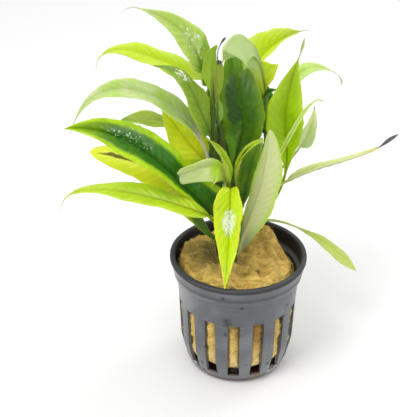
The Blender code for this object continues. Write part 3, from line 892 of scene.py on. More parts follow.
def leaf_tone(nodes, leaf, look, on):
    """Colour of a leaf's two faces, with margins, side veins and midrib."""
    tint = Tint(*(gained(daylight(colour), look.gain) for colour in TINTS[look.tint]))
    stalk = nodes.step(on.share, max(0.30, leaf.stalk + 0.12), max(0.05, leaf.stalk - 0.13))
    edging = nodes.step(on.side + (on.cloud - 0.5) * 0.25, *look.band)
    mottle = look.mottle * 0.35
    tone = nodes.mix(stalk, tint.blade, tint.heel)
    tone = nodes.mix(nodes.step(on.share, 0.72, 1.0) * 0.8, tone, tint.tip)
    tone = nodes.mix(edging, tone, tint.margin)
    tone = nodes.mix(nodes.step(on.cloud, 0.4, 0.7) * 0.32, tone, tint.heel)
    tone = nodes.mix(nodes.step(on.blotch, 0.48, 0.66) * mottle, tone, tint.margin)
    tone = nodes.mix(nodes.step(on.fibre, 0.45, 0.7) * mottle, tone, tint.tip)
    under = nodes.mix(nodes.step(on.fibre, 0.4, 0.7) * 0.3, tint.under, tint.blade)
    under = nodes.mix(nodes.step(on.blotch, 0.5, 0.68) * 0.2, under, tint.margin)
    under = nodes.mix(edging * 0.7, under, tint.margin)
    under = nodes.mix(stalk, under, tint.heel)
    tone = nodes.mix(on.upper, under, tone)
    tone = nodes.mix(on.vein * 0.16, tone, tint.heel)
    rib = on.rib ** (on.share * 4.0 + 1.0) * nodes.step(on.share, 1.0, 0.3)
    return nodes.mix(rib * 0.65, tone, tint.rib)


def leaf_scars_and_shadows(nodes, leaf, look, on, tone):
    """A leaf's colour with its stains and painted shadow, its pale thread and its dry and withered ends."""
    rough_edge = on.across + (on.cloud - 0.5) * 0.8
    for *spot, colour in look.stains:
        tone = nodes.mix(leaf_patch(nodes, on.share, rough_edge, spot) * 0.85, tone, daylight(colour))
    if leaf.tail:
        tone = nodes.mix(nodes.step(on.share, 0.985, 1.0) * 0.6, tone, daylight(THREAD))
    if look.dry < 1.0:
        dry = nodes.step(on.share + (on.cloud - 0.5) * 0.08, look.dry - 0.12, look.dry)
        tone = nodes.mix(dry, tone, daylight(STRAW))
    if look.black < 1.0:
        black = nodes.step(on.share + (on.cloud - 0.5) * 0.05, look.black, look.black + 0.03)
        tone = nodes.mix(black, tone, daylight(ASH))
    return tone


def leaf_material(name, leaf, look, veins, slant, settings):
    """A leaf's two faces: their colour, scars, painted shadow and relief, and the glossy wet patch with
    painted glints.
    """
    material, nodes = new_material("leaf_" + name)
    on = leaf_patterns(nodes, veins, slant)
    tone = leaf_scars_and_shadows(nodes, leaf, look, on, leaf_tone(nodes, leaf, look, on))
    rough = settings.roughness + (1.0 - on.upper) * 0.2 + (on.cells - 0.5) * 0.12
    relief = on.cells * 0.35 + on.fibre * 0.35 - on.vein * 0.5
    wet = 0.0
    if look.wet:
        *spot, density = look.wet
        wet = leaf_patch(nodes, on.share, on.across + (on.cloud - 0.5) * 0.8, spot) * on.upper
        beads = nodes.cells(on.place, 620.0, "SMOOTH_F1")
        # White glints painted into the colour, densest in the wet patch's middle.
        painted_glint = nodes.step(nodes.noise(on.place, 1000.0, 4.0, 0.4) + wet * density, 0.68, 0.74) * wet
        rough = rough * (1.0 - wet) + wet * 0.06
        relief = relief + wet * nodes.step(beads, 0.6, 0.05) * 2.0
        tone = nodes.mix(painted_glint * 0.9, tone, PAINTED_GLINT)
    surface(nodes, {
        "Base Color": tone, "Roughness": rough, "Normal": nodes.bumped(relief, 0.12 * MM),
        "Subsurface Weight": settings.glow, "Subsurface Radius": (0.7, 1.0, 0.15),
        "Subsurface Scale": 0.6 * MM, "Specular IOR Level": 0.28,
        "Coat Weight": wet * 0.5, "Coat Roughness": 0.04, "Coat IOR": 1.8,
    })
    return material


def link_mesh(name, mesh):
    """A new object for a mesh."""
    thing = bpy.data.objects.new(name, mesh)
    bpy.context.scene.collection.objects.link(thing)
    return thing


def mesh_from_grid(name, points, faces):
    """A mesh from points in millimetres and its faces."""
    mesh = bpy.data.meshes.new(name)
    mesh.from_pydata((np.asarray(points).reshape(-1, 3) * MM).tolist(), [], faces)
    mesh.shade_smooth()
    return mesh


def mark_mesh(mesh, **marks):
    """Give a mesh a value at each point under each name."""
    for name, values in marks.items():
        mesh.attributes.new(name, "FLOAT", "POINT").data.foreach_set("value", values)


def grid_faces(rows, columns, start=0, flip=False, closed=False):
    """Quads between the points of a grid, row by row, and back to the first column if it is closed."""
    faces = []
    for row in range(rows - 1):
        for column in range(columns if closed else columns - 1):
            beside = (column + 1) % columns
            a, b = start + row * columns + column, start + row * columns + beside
            quad = (a, b, b + columns, a + columns)
            faces.append(quad[::-1] if flip else quad)
    return faces


def settle(thing, slot, *nodes):
    """Make a finished piece ride on the part in place of its solids."""
    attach(thing, "root")
    if nodes:
        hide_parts(*nodes)


def new_growth(name, sizes):
    """A Geometry Nodes tree with a geometry and named sizes going in, and its group input's wires."""
    tree = bpy.data.node_groups.new(name, "GeometryNodeTree")
    tree.interface.new_socket("Geometry", in_out="INPUT", socket_type="NodeSocketGeometry")
    for label, kind in sizes.items():
        tree.interface.new_socket(label, in_out="INPUT", socket_type="NodeSocket" + kind)
    tree.interface.new_socket("Geometry", in_out="OUTPUT", socket_type="NodeSocketGeometry")
    nodes = Nodes(tree)
    group = nodes.add("NodeGroupInput").socket.node
    return tree, nodes, {s.name: Wire(nodes, s) for s in group.outputs if s.name}


def end_growth(nodes, geometry, material):
    """End a tree in realized instances with their material."""
    whole = nodes.add("GeometryNodeRealizeInstances", {}, {"Geometry": geometry})
    dressed = nodes.add("GeometryNodeSetMaterial", {}, {"Geometry": whole, "Material": material})
    end = next(socket for socket in nodes.tree.interface.items_tree if socket.in_out == "OUTPUT")
    nodes.add("NodeGroupOutput", {}, {end.identifier: dressed})


def grown_mesh(thing, tree, values):
    """The mesh that a tree makes of an object, with its inputs set by the sockets' identifiers."""
    growth = thing.modifiers.new(tree.name, "NODES")
    growth.node_group = tree
    for socket in tree.interface.items_tree:
        if socket.in_out == "INPUT" and socket.name in values:
            growth[socket.identifier] = values[socket.name]
    bpy.context.view_layer.update()
    depsgraph = bpy.context.evaluated_depsgraph_get()
    mesh = bpy.data.meshes.new_from_object(thing.evaluated_get(depsgraph))
    thing.modifiers.remove(growth)
    return mesh


def round_tree():
    """A tree that repeats one sector of a round piece about the pot's axis and joins the copies."""
    tree, nodes, given = new_growth("round", {"Count": "Int", "Material": "Material"})
    index = nodes.add("GeometryNodeInputIndex")
    angle = index * (2.0 * math.pi) / given["Count"]
    turn = nodes.add("ShaderNodeCombineXYZ", {}, {"Z": angle})
    spots = nodes.add("GeometryNodePoints", {}, {"Count": given["Count"]})
    copies = nodes.add(
        "GeometryNodeInstanceOnPoints", {},
        {"Points": spots, "Instance": given["Geometry"], "Rotation": turn},
    )
    end_growth(nodes, copies, given["Material"])
    return tree


def fibre_tree():
    """A tree that lays short bent fibres on a surface, more where its fuzz attribute is high."""
    tree, nodes, given = new_growth("fibres", {
        "Density": "Float", "Length": "Float", "Radius": "Float", "Seed": "Int", "Material": "Material",
    })
    fuzz = nodes.add("GeometryNodeInputNamedAttribute", {"data_type": "FLOAT"}, {"Name": "fuzz"})
    sown = {"Mesh": given["Geometry"], "Density": given["Density"] * fuzz, "Seed": given["Seed"]}
    scatter = nodes.add("GeometryNodeDistributePointsOnFaces", {}, sown, "Points")
    lie = nodes.outlet(scatter.socket.node, "Rotation")
    start, middle, end = FIBRE_BEND
    bend = nodes.add("GeometryNodeCurveQuadraticBezier", {}, {
        "Resolution": 4, "Start": start, "Middle": middle, "End": end,
    })
    ring = nodes.add("GeometryNodeCurvePrimitiveCircle", {}, {
        "Resolution": 3, "Radius": given["Radius"] / given["Length"],
    })
    fibre = nodes.add("GeometryNodeCurveToMesh", {}, {"Curve": bend, "Profile Curve": ring})
    tilt = nodes.add("FunctionNodeRandomValue", {"data_type": "FLOAT_VECTOR"}, {
        "Min": (-FIBRE_TILT, -FIBRE_TILT, -math.pi), "Max": (FIBRE_TILT, FIBRE_TILT, math.pi),
        "Seed": given["Seed"],
    })
    turned = nodes.add("FunctionNodeRotateRotation", {"rotation_space": "LOCAL"}, {
        "Rotation": lie, "Rotate By": tilt,
    })
    size = nodes.add("FunctionNodeRandomValue", {"data_type": "FLOAT"}, {
        "Min_001": FIBRE_SHORTEST, "Max_001": FIBRE_LONGEST, "Seed": given["Seed"],
    })
    copies = nodes.add("GeometryNodeInstanceOnPoints", {}, {
        "Points": scatter, "Instance": fibre, "Rotation": turned, "Scale": size * given["Length"],
    })
    end_growth(nodes, copies, given["Material"])
    return tree


def wall_radius(height):
    """Radius of the outside of the pot's wall, under the collar."""
    radii, heights = zip(*WALL_STEPS)
    return float(np.interp(height, heights, radii))


def pot_rows(look):
    """Pairs of an outer and an inner point, as radius and height, from the floor's middle to the rim."""
    height, rim, mouth = look.height / MM, look.rim_radius / MM, look.mouth_radius / MM
    step = height - look.collar / MM
    rows = [((r, 0.0), (r, FLOOR)) for r in (0.9, 4.0, *FLOOR_SLOT_REACH, 16.6)]
    rows += [((18.0, 0.0), (17.6, 1.8)), ((18.6, 0.35), (18.3, 2.3)), ((19.3, 1.2), (18.8, 2.9))]
    rows += [((20.2, 2.4), (19.2, 3.6))]
    for z in (*SLOT_REACH, 9.0, 13.0, 18.0, 23.0, 27.6, 34.0, 38.0):
        rows.append(((wall_radius(z), z), (wall_radius(z) - WALL, z)))
    rows.sort(key=lambda pair: (pair[0][1], pair[0][0]))
    rows += [
        ((24.05, step - 0.5), (22.85, step - 0.3)), ((24.15, step - 0.15), (22.9, step + 0.2)),
        ((24.5, step), (23.0, step + 0.7)), ((25.1, step + 0.02), (23.8, step + 1.4)),
        ((25.4, step + 0.25), (24.5, step + 2.0)), ((25.55, step + 0.9), (mouth - 0.05, step + 2.6)),
        ((26.3, height - 3.2), (mouth, height - 3.2)), ((rim - 0.25, height - 2.0), (mouth, height - 1.6)),
        ((rim, height - 1.5), (mouth, height - 1.0)), ((rim, height - 0.7), (mouth + 0.02, height - 0.6)),
        ((rim - 0.1, height - 0.35), (mouth + 0.14, height - 0.28)),
        ((rim - 0.35, height - 0.1), (mouth + 0.38, height - 0.06)),
        ((rim - 0.75, height), (mouth + 0.75, height)),
    ]
    return rows


def pot_columns(radius, width, pitch):
    """Angles of one pitch's columns, in degrees from the slot's middle, two of them at its edges."""
    edge = math.degrees(math.asin(min(0.95, width / 2 / max(radius, width))))
    edge = min(edge, pitch / 2 - LEAST_BAR)
    bar = np.linspace(edge, pitch / 2, BAR_STEPS + 1)
    slot = np.linspace(-edge, edge, SLOT_STEPS + 1)
    return np.concatenate((-bar[::-1], slot[1:-1], bar))


def sector_turns(radius, on_floor, slot_width):
    """Angles of a sector's columns at a radius: three slots in the wall or one in the floor."""
    pitch = 360.0 / SLOTS
    turns = []
    for third in (-1, 0, 1):
        width = FLOOR_SLOT_WIDTH if on_floor and third == 0 else slot_width
        columns = pot_columns(radius, width, pitch) + third * pitch
        turns.append(columns if third == -1 else columns[1:])
    return np.radians(np.concatenate(turns) + FIRST_SLOT)


def pot_sector(look):
    """A fifth of the pot: three slots in the wall and one in the floor, on one closed skin."""
    rows = pot_rows(look)
    rings = []
    for skin in (0, 1):
        for pair in rows:
            radius, height = pair[skin]
            turn = sector_turns(pair[0][0], pair[0][1] < ON_FLOOR, look.slot_width / MM)
            ring = (radius * np.cos(turn), radius * np.sin(turn), np.full_like(turn, height))
            rings.append(np.stack(ring, 1))
    count, columns = len(rows), len(rings[0])
    inner = count * columns
    cells = open_pot_cells(rows)
    faces = []
    for skin in (0, 1):
        quads = grid_faces(count, columns, skin * inner, flip=skin == 0)
        faces += [quad for cell, quad in enumerate(quads) if cell not in cells]
    for top in range(inner - columns, inner - 1):
        faces.append((top + inner, top + 1 + inner, top + 1, top))
    faces += slot_walls(cells, count - 1, columns - 1, columns, inner)
    middle = 2 * inner
    for column in range(columns - 1):
        faces.append((middle, column + 1, column))
        faces.append((middle + 1, inner + column, inner + column + 1))
    ends = [[0.0, 0.0, 0.0], [0.0, 0.0, FLOOR]]
    return mesh_from_grid("pot_sector", np.concatenate([*rings, ends]), faces)


def open_pot_cells(rows):
    """Numbers of the grid cells that lie in a slot, counted row by row."""
    per_pitch = 2 * BAR_STEPS + SLOT_STEPS
    cells = set()
    for row, (low, high) in enumerate(zip(rows, rows[1:])):
        (near, z_low), (far, z_high) = low[0], high[0]
        in_wall = z_low >= SLOT_REACH[0] and z_high <= SLOT_REACH[1]
        in_floor = z_high == 0.0 and near >= FLOOR_SLOT_REACH[0] and far <= FLOOR_SLOT_REACH[1]
        for third in range(3):
            if in_wall or in_floor and third == 1:
                first = third * per_pitch + BAR_STEPS
                cells |= {row * 3 * per_pitch + first + k for k in range(SLOT_STEPS)}
    return cells


def slot_walls(cells, rows, across, columns, inner):
    """Faces between the outer and the inner skin round every opening."""
    faces = []
    for cell in cells:
        row, column = divmod(cell, across)
        a = row * columns + column
        b, c, d = a + 1, a + columns + 1, a + columns
        sides = ((a, b, row > 0, cell - across), (c, d, row < rows - 1, cell + across))
        sides += ((b, c, column < across - 1, cell + 1), (d, a, column > 0, cell - 1))
        for start, end, inside, neighbour in sides:
            if not (inside and neighbour in cells):
                faces.append((start, end, end + inner, start + inner))
    return faces


class HYGROPHILA_OT_pot(bpy.types.Operator):
    """Build the slotted net pot."""

    bl_idname = "hygrophila.pot"
    bl_label = "Net pot"

    def execute(self, context):
        look = context.scene.hygrophila_pot
        sector = link_mesh("pot_sector", pot_sector(look))
        values = {"Count": FLOOR_SLOTS, "Material": plastic_material(look)}
        pot = link_mesh("pot", grown_mesh(sector, round_tree(), values))
        bpy.data.objects.remove(sector)
        weld = pot.modifiers.new("weld", "WELD")
        weld.merge_threshold = WELD_GAP * MM
        bevel = pot.modifiers.new("edges", "BEVEL")
        bevel.width = look.edge
        bevel.segments = 2
        bevel.limit_method = "ANGLE"
        bevel.angle_limit = math.radians(EDGE_ANGLE)
        settle(pot, "pot", "net_pot")
        return {"FINISHED"}


def plug_point(around, share):
    """A point of the plug's skin, and how deep it lies in its own lumps from 0 to 1."""
    shares, radii, heights = zip(*PLUG_STEPS)
    radius, height = np.interp(share, shares, radii), np.interp(share, shares, heights)
    spot = Vector((radius * math.cos(around), radius * math.sin(around), height))
    lump = noise.noise(spot / LUMP_SIZE)
    spot.xy *= 1.0 - abs(lump) * LUMP_HEIGHT / 100
    flat = Vector((spot.x, spot.y, spot.z * STRAND_FLATNESS)) / STRAND_SIZE
    strands = noise.fractal(flat, 0.7, 2.1, 5)
    pits = min(0.0, noise.noise(spot / PIT_SIZE + PIT_SEED)) * PIT_DEPTH
    clump = 0.0
    if height > PLUG_NECK:
        clump = noise.noise(spot / CLUMP_SIZE + CLUMP_SEED)
        spot.z += LUMP_HEIGHT * lump + STRAND_HEIGHT * strands + CLUMP_HEIGHT * clump + pits
        facing = max(0.0, math.cos(around - math.radians(DENT_AZIMUTH)))
        spot.xy *= 1.0 - DENT * facing ** DENT_SHARPNESS
        spot.xy *= 1.0 - max(0.0, -0.03 * strands)
        away = (spot.xy - Vector(KNOLL_PLACE)).length / KNOLL_REACH
        spot.z += KNOLL_HEIGHT * math.exp(-away ** 4)
    else:
        out = bulge(around, height, spot)
        spot.xy *= 1.0 + (out + 0.35 * strands * (out > 0.2)) / max(radius, 1.0)
    return spot, min(1.0, max(0.0, -(strands * 0.25 + pits * 0.3 + clump * 1.5)))


def bulge(around, height, spot):
    """How far the rockwool swells into the slot that it faces, in millimetres."""
    pitch = 360.0 / SLOTS
    aside = (math.degrees(around) - FIRST_SLOT + pitch / 2) % pitch - pitch / 2
    off = abs(math.radians(aside)) * spot.xy.length
    if height < SWELL_FOOT or height > SLOT_REACH[1] or off > SWELL_HALF:
        return 0.0
    ends = min(1.0, (height - SWELL_FOOT) / SWELL_END, (SLOT_REACH[1] - height) / SWELL_END)
    change = 1.0 + SWELL_CHANGE * noise.noise(spot / SWELL_SIZE + SWELL_SEED)
    return SWELL * change * ends * min(1.0, (SWELL_HALF - off) / SWELL_RISE) ** 0.7


def fuzz_at(spot):
    """How many loose fibres stand at a point of the plug, as a share of those on its top."""
    if spot.z > FUZZ_HEIGHT:
        return 1.0
    return SLOT_FUZZ if bulge(math.atan2(spot.y, spot.x), spot.z, spot) > FUZZ_SWELL else 0.0


def plug_mesh():
    """The plug's fine skin, with its depth for painted shade and where loose fibres stand as attributes."""
    points, depths, fuzz = [], [], []
    for row in range(PLUG_ROWS):
        share = PLUG_FIRST_SHARE + (PLUG_LAST_SHARE - PLUG_FIRST_SHARE) * row / (PLUG_ROWS - 1)
        for column in range(PLUG_COLUMNS):
            spot, depth = plug_point(2 * math.pi * column / PLUG_COLUMNS, share)
            points.append(spot)
            depths.append(depth)
            fuzz.append(fuzz_at(spot))
    last = (PLUG_ROWS - 1) * PLUG_COLUMNS
    for start in (0, last):
        points.append(sum(points[start:start + PLUG_COLUMNS], Vector()) / PLUG_COLUMNS)
        depths.append(0.0)
        fuzz.append(SLOT_FUZZ)
    faces = grid_faces(PLUG_ROWS, PLUG_COLUMNS, closed=True)
    bottom, top = last + PLUG_COLUMNS, last + PLUG_COLUMNS + 1
    for column in range(PLUG_COLUMNS):
        beside = (column + 1) % PLUG_COLUMNS
        faces.append((bottom, beside, column))
        faces.append((top, last + column, last + beside))
    mesh = mesh_from_grid("rockwool", [tuple(p) for p in points], faces)
    mark_mesh(mesh, depth=depths, fuzz=fuzz)
    return mesh


class HYGROPHILA_OT_rockwool(bpy.types.Operator):
    """Build the rockwool plug and its loose fibres."""

    bl_idname = "hygrophila.rockwool"
    bl_label = "Rockwool"

    def execute(self, context):
        look = context.scene.hygrophila_plug
        plug = link_mesh("rockwool", plug_mesh())
        values = {
            "Density": look.fibres * 1e4, "Length": look.fibre_length, "Radius": look.fibre_radius,
            "Seed": look.seed, "Material": fibre_material(look),
        }
        fibres = link_mesh("rockwool_fibres", grown_mesh(plug, fibre_tree(), values))
        plug.data.materials.append(rockwool_material(look))
        settle(plug, "rockwool", "rockwool_plug")
        settle(fibres, "rockwool")
        return {"FINISHED"}


def stem_at(name, height):
    """The middle of a stem at a height."""
    foot, top = (np.array(end, float) for end in STEMS[name])
    return foot + (top - foot) * (height - foot[2]) / (top[2] - foot[2])


def stem_mesh(name, radius):
    """A stem: a tube with ribs, a collar at each node and a bud at its top."""
    foot, top = STEMS[name]
    nodes = sorted({leaf.height for leaf in LEAVES.values() if leaf.stem == name})
    heights = np.arange(foot[2], top[2] + 0.01, STEM_ROW)
    turns = np.linspace(0.0, 2 * math.pi, STEM_SIDES, endpoint=False)
    points, marks = [], []
    for height in heights:
        nearest = min(nodes, key=lambda node: abs(node - height))
        near = math.exp(-((height - nearest) / STEM_NODE_REACH) ** 2)
        end = min(1.0, math.sqrt(max(0.0, top[2] + STEM_CAP - height) / STEM_BUD))
        ribs = 1.0 + STEM_RIB_HEIGHT * np.cos(STEM_RIBS * turns + height * STEM_RIB_TURN)
        wide = radius * (1.0 + (STEM_NODE_SWELL - 1.0) * near) * ribs * max(0.12, end)
        ring = np.stack([wide * np.cos(turns), wide * np.sin(turns), np.zeros(STEM_SIDES)], 1)
        points.append(ring + stem_at(name, height))
        marks += [near] * STEM_SIDES
    faces = grid_faces(len(heights), STEM_SIDES, closed=True)
    faces.append(tuple(range(STEM_SIDES))[::-1])
    faces.append(tuple(range((len(heights) - 1) * STEM_SIDES, len(heights) * STEM_SIDES)))
    mesh = mesh_from_grid("stem_" + name, points, faces)
    mark_mesh(mesh, node=marks)
    return mesh


class HYGROPHILA_OT_stems(bpy.types.Operator):
    """Build the five stems."""

    bl_idname = "hygrophila.stems"
    bl_label = "Stems"

    def execute(self, context):
        look = context.scene.hygrophila_stem
        skin = stem_material(look)
        for name in STEMS:
            stem = link_mesh(name + "_stem", stem_mesh(name, look.radius / MM))
            stem.data.materials.append(skin)
            settle(stem, "stem", "stem_" + name)
        return {"FINISHED"}


def heading(degrees, slope):
    """A direction of unit length from an azimuth and a slope."""
    around, up = math.radians(degrees), math.radians(slope)
    return np.array([math.cos(around) * math.cos(up), math.sin(around) * math.cos(up), math.sin(up)])


def unit(vectors):
    """Vectors made one long."""
    return vectors / np.linalg.norm(vectors, axis=-1, keepdims=True)


def ease(values):
    """0 below 0, 1 above 1 and smooth between them."""
    held = np.clip(values, 0.0, 1.0)
    return held * held * (3.0 - 2.0 * held)


def leaf_springs(leaf):
    """The four points that a leaf's midrib bends between."""
    axis = stem_at(leaf.stem, leaf.height)
    standoff = STEM_RADIUS * STEM_NODE_SWELL + STALK_CLEARANCE
    start = axis + heading(leaf.azimuth - leaf.sweep, 0.0) * standoff
    tip = axis + heading(leaf.azimuth, 0.0) * leaf.reach + np.array([0.0, 0.0, leaf.rise])
    length = np.linalg.norm(tip - start) * leaf.bow
    first = start + heading(leaf.azimuth - leaf.sweep, leaf.lift) * length * FIRST_SPRING
    last = tip - heading(leaf.azimuth + leaf.sweep, leaf.fall) * length * LAST_SPRING
    return start, first, last, tip


def leaf_frame(leaf, along):
    """Points of the midrib at a grid of shares, and the directions to its left and out of its face."""
    a, b, c, d = leaf_springs(leaf)
    gone = along[..., None]
    rest = 1.0 - gone
    point = a * rest ** 3 + b * 3 * rest ** 2 * gone + c * 3 * rest * gone ** 2 + d * gone ** 3
    way = unit((b - a) * rest ** 2 + (c - b) * 2 * rest * gone + (d - c) * gone ** 2)
    side = heading(leaf.azimuth + 90.0, 0.0)
    left = unit(side - way * (way @ side)[..., None])
    over = np.cross(way, left)
    turn = np.radians(leaf.roll + leaf.twist * ease((along - TWIST_START) / (1.0 - TWIST_START)))
    cos, sin = np.cos(turn)[..., None], np.sin(turn)[..., None]
    return point, way, left * cos + over * sin, over * cos - left * sin


def half_width(leaf, along):
    """Half the leaf's width at a share of its length: a stalk, then a blade that narrows to a point."""
    least = STALK_HALF_WIDTH + (TIP_HALF_WIDTH - STALK_HALF_WIDTH) * along
    wing = leaf.wing * (1.0 - along) ** WING_TAPER * np.minimum(1.0, WING_START + along * WING_GROWTH)
    least = np.maximum(least, wing)
    blade = np.clip((along - leaf.stalk) / (1.0 - leaf.stalk), 0.0, 1.0)
    swell = (blade / leaf.widest) ** (leaf.point * leaf.widest)
    taper = ((1.0 - blade) / (1.0 - leaf.widest)) ** (leaf.point * (1.0 - leaf.widest))
    return np.maximum(least, leaf.width / 2 * swell * taper)


def heel_points(leaf, columns):
    """Where a stalk comes out of its node, as a short bend from inside the stem to the leaf's start."""
    start, first = leaf_springs(leaf)[:2]
    out = heading(leaf.azimuth - leaf.sweep, 0.0)
    root = stem_at(leaf.stem, leaf.height - HEEL_DROP) + out * HEEL_ROOT
    knee = start - unit(first - start) * HEEL_KNEE
    steps = np.linspace(0.0, 1.0, 6)[:-1, None, None]
    bend = root * (1 - steps) ** 2 + 2 * knee * steps * (1 - steps) + start * steps ** 2
    return np.broadcast_to(bend, (len(steps), columns, 3))


def tail_points(tail, tip, way, columns):
    """The dried thread that runs on from a leaf's tip, bending to its own direction, and its course."""
    steps = np.linspace(0.0, 1.0, 13)[1:, None, None]
    turn = heading(tail.azimuth, tail.slope) - way
    line = tip + (way * steps + turn * steps ** 2 / 2) * tail.length
    shape = (len(steps), columns, 3)
    return np.broadcast_to(line, shape), np.broadcast_to(unit(way + turn * steps), shape)


def tail_half_width(tail, rows):
    """Half the width of a thread along its rows, with its swelling."""
    swelling = tail.swelling * np.sin(math.pi * np.linspace(0.0, 1.0, rows) ** tail.late)
    return np.linspace(0.8, 0.3, rows) * TIP_HALF_WIDTH + swelling


def wander(values, seed):
    """A smooth wandering number round 0 for each value."""
    flat = [noise.noise(Vector((float(v), seed * 3.7, 0.5))) for v in np.ravel(values)]
    return np.array(flat).reshape(np.shape(values))


def leaf_length(leaf):
    """Length of a leaf along its midrib."""
    line = leaf_frame(leaf, np.linspace(0.0, leaf.kept, 40))[0]
    return float(np.linalg.norm(np.diff(line, axis=0), axis=1).sum())


def leaf_columns(leaf):
    """Places across a leaf, from its right margin at -1 to its left at 1, closer beside the midrib."""
    half_columns = int(np.clip(leaf.width * 0.9, 6, 14))
    across = np.linspace(-1.0, 1.0, 2 * half_columns + 1)
    return np.sign(across) * np.abs(across) ** 1.2


def ragged_half_width(leaf, along, across, seed):
    """Half the blade's width on a grid, with ragged margins and the skirt beside its stalk."""
    half = half_width(leaf, along)
    for side in (-1, 1):
        edge = np.sign(across) == side
        for rate, depth, start in RAGGED:
            half[:, edge] *= 1.0 + depth * wander(along[:, edge] * rate + side * start, seed)
    skirt = abs(leaf.skirt) * (1.0 - along) * ease(along * SKIRT_GROWTH)
    return np.where(across * leaf.skirt > 0, np.maximum(half, skirt), half)


# The rows of a leaf's heel, blade and thread: the midrib's points, shares of the length, half widths and
# the directions to the left and out of the upper face.
Sheet = namedtuple("Sheet", "centre share half left upper")


def leaf_sheet(leaf, across, seed):
    """A leaf's heel, blade and thread as one sheet of rows."""
    rows = int(np.clip(leaf_length(leaf) / ROW_LENGTH, *ROW_COUNTS))
    torn = 1.0 + (wander(across * 1.3, seed) * TEAR_DEPTH if leaf.kept < 1.0 else 0.0 * across)
    along = np.linspace(0.0, leaf.kept, rows)[:, None] * torn[None, :]
    point, way, left, upper = leaf_frame(leaf, along)
    heel = heel_points(leaf, len(across))
    before = heel.shape[:2]
    parts = Sheet(
        [heel, point], [np.zeros(before), along],
        [np.full(before, HEEL_HALF_WIDTH), ragged_half_width(leaf, along, across, seed)],
        [np.repeat(left[:1], before[0], 0), left], [np.repeat(upper[:1], before[0], 0), upper],
    )
    if leaf.tail:
        tail, tail_way = tail_points(leaf.tail, point[-1, 0], way[-1, 0], len(across))
        after = tail.shape[:2]
        tail_left = unit(np.cross(upper[-1:], tail_way))
        tail_half = np.broadcast_to(tail_half_width(leaf.tail, after[0])[:, None], after)
        ends = Sheet(tail, np.ones(after), tail_half, tail_left, np.cross(tail_way, tail_left))
        for part, end in zip(parts, ends):
            part.append(end)
    return Sheet(*(np.concatenate(part) for part in parts))


def leaf_relief(leaf, sheet, across, rib, seed, veins, slant, quilting):
    """How far a leaf stands out of its folded sheet: quilting, unevenness, waves and a sunk midrib."""
    aside = np.abs(across)
    blade = np.clip((sheet.share - leaf.stalk) / (1.0 - leaf.stalk), 0.0, 1.0)
    fullness = np.sin(math.pi * blade ** 0.8) ** 0.6
    phase = veins * (sheet.share - slant * aside ** SLANT_CURVE) + np.where(across > 0, VEIN_OFFSET, 0.0)
    pillow = (0.5 - 0.5 * np.cos(2 * math.pi * phase)) * np.sin(math.pi * aside.clip(0, 1)) ** 0.7
    uneven = UNEVENNESS * wander(sheet.share * 5.0 + across * 1.1, seed + 0.5)
    count = WAVES + seed % 3 * WAVES_MORE
    waves = np.sin(sheet.share * 2 * math.pi * count + seed * 1.3 + np.sign(across) * 1.2)
    margin = leaf.wave * waves * aside ** 2 * np.clip(sheet.half / 5.0, 0.3, 1.2)
    return (quilting * pillow + uneven + margin - RIB_GROOVE * rib) * fullness


def leaf_skins(leaf, sheet, across, rib, relief, settings):
    """Points of a leaf's upper and lower skin. Each half is folded and bends down towards its margin."""
    aside, side = np.abs(across), np.sign(across)
    bend = math.radians(max(leaf.droop, 1))
    start = math.radians(leaf.fold) + bend * 0.5
    slope = start - bend * aside
    out = sheet.half * ((math.sin(start) - np.sin(slope)) / bend * side)
    up = sheet.half * ((np.cos(slope) - math.cos(start)) / bend)
    raised = sheet.upper * np.cos(slope)[None, :, None] - sheet.left * (np.sin(slope) * side)[None, :, None]
    top = sheet.centre + sheet.left * out[..., None] + sheet.upper * up[..., None]
    top = top + raised * relief[..., None]
    blade = settings.thickness / MM * (1.0 - 0.65 * aside ** 3) * np.clip(sheet.half / 1.5, 0.35, 1.0)
    ridge = settings.rib_depth / MM * rib * (1.0 - 0.8 * sheet.share) * np.clip(sheet.half / 0.6, 0.2, 1.0)
    return top, top - raised * (blade + ridge)[..., None]


def skin_faces(rows, columns):
    """Faces of two grids of points, back to back and joined round their rim."""
    under = rows * columns
    faces = grid_faces(rows, columns) + grid_faces(rows, columns, under, flip=True)
    rim = [row * columns for row in range(rows)]
    rim += [under - columns + column for column in range(1, columns)]
    rim += [row * columns + columns - 1 for row in reversed(range(rows - 1))]
    rim += list(range(columns - 2, 0, -1))
    faces += [(a, b, b + under, a + under) for a, b in zip(rim, rim[1:] + rim[:1])]
    return [face[::-1] for face in faces]


def leaf_mesh(name, leaf, seed, veins, slant, settings):
    """A leaf as one closed skin, with its chart and its upper and midrib marks."""
    across = leaf_columns(leaf)
    sheet = leaf_sheet(leaf, across, seed)
    rib = np.exp(-(sheet.half * np.abs(across) / RIB_HALF_WIDTH) ** 2)
    relief = leaf_relief(leaf, sheet, across, rib, seed, veins, slant, settings.quilting / MM)
    skins = leaf_skins(leaf, sheet, across, rib, relief, settings)
    rows, columns = sheet.share.shape
    mesh = mesh_from_grid("leaf_" + name, np.stack(skins), skin_faces(rows, columns))
    mark_mesh(mesh, upper=np.repeat([1.0, 0.0], rows * columns), rib=np.tile(rib.ravel(), 2))
    chart = np.stack([sheet.share, np.broadcast_to(across / 2 + 0.5, sheet.share.shape)], -1)
    corners = np.zeros(len(mesh.loops), np.int32)
    mesh.loops.foreach_get("vertex_index", corners)
    layer = mesh.uv_layers.new(name="leaf")
    layer.data.foreach_set("uv", chart.reshape(-1, 2)[corners % (rows * columns)].ravel())
    return mesh


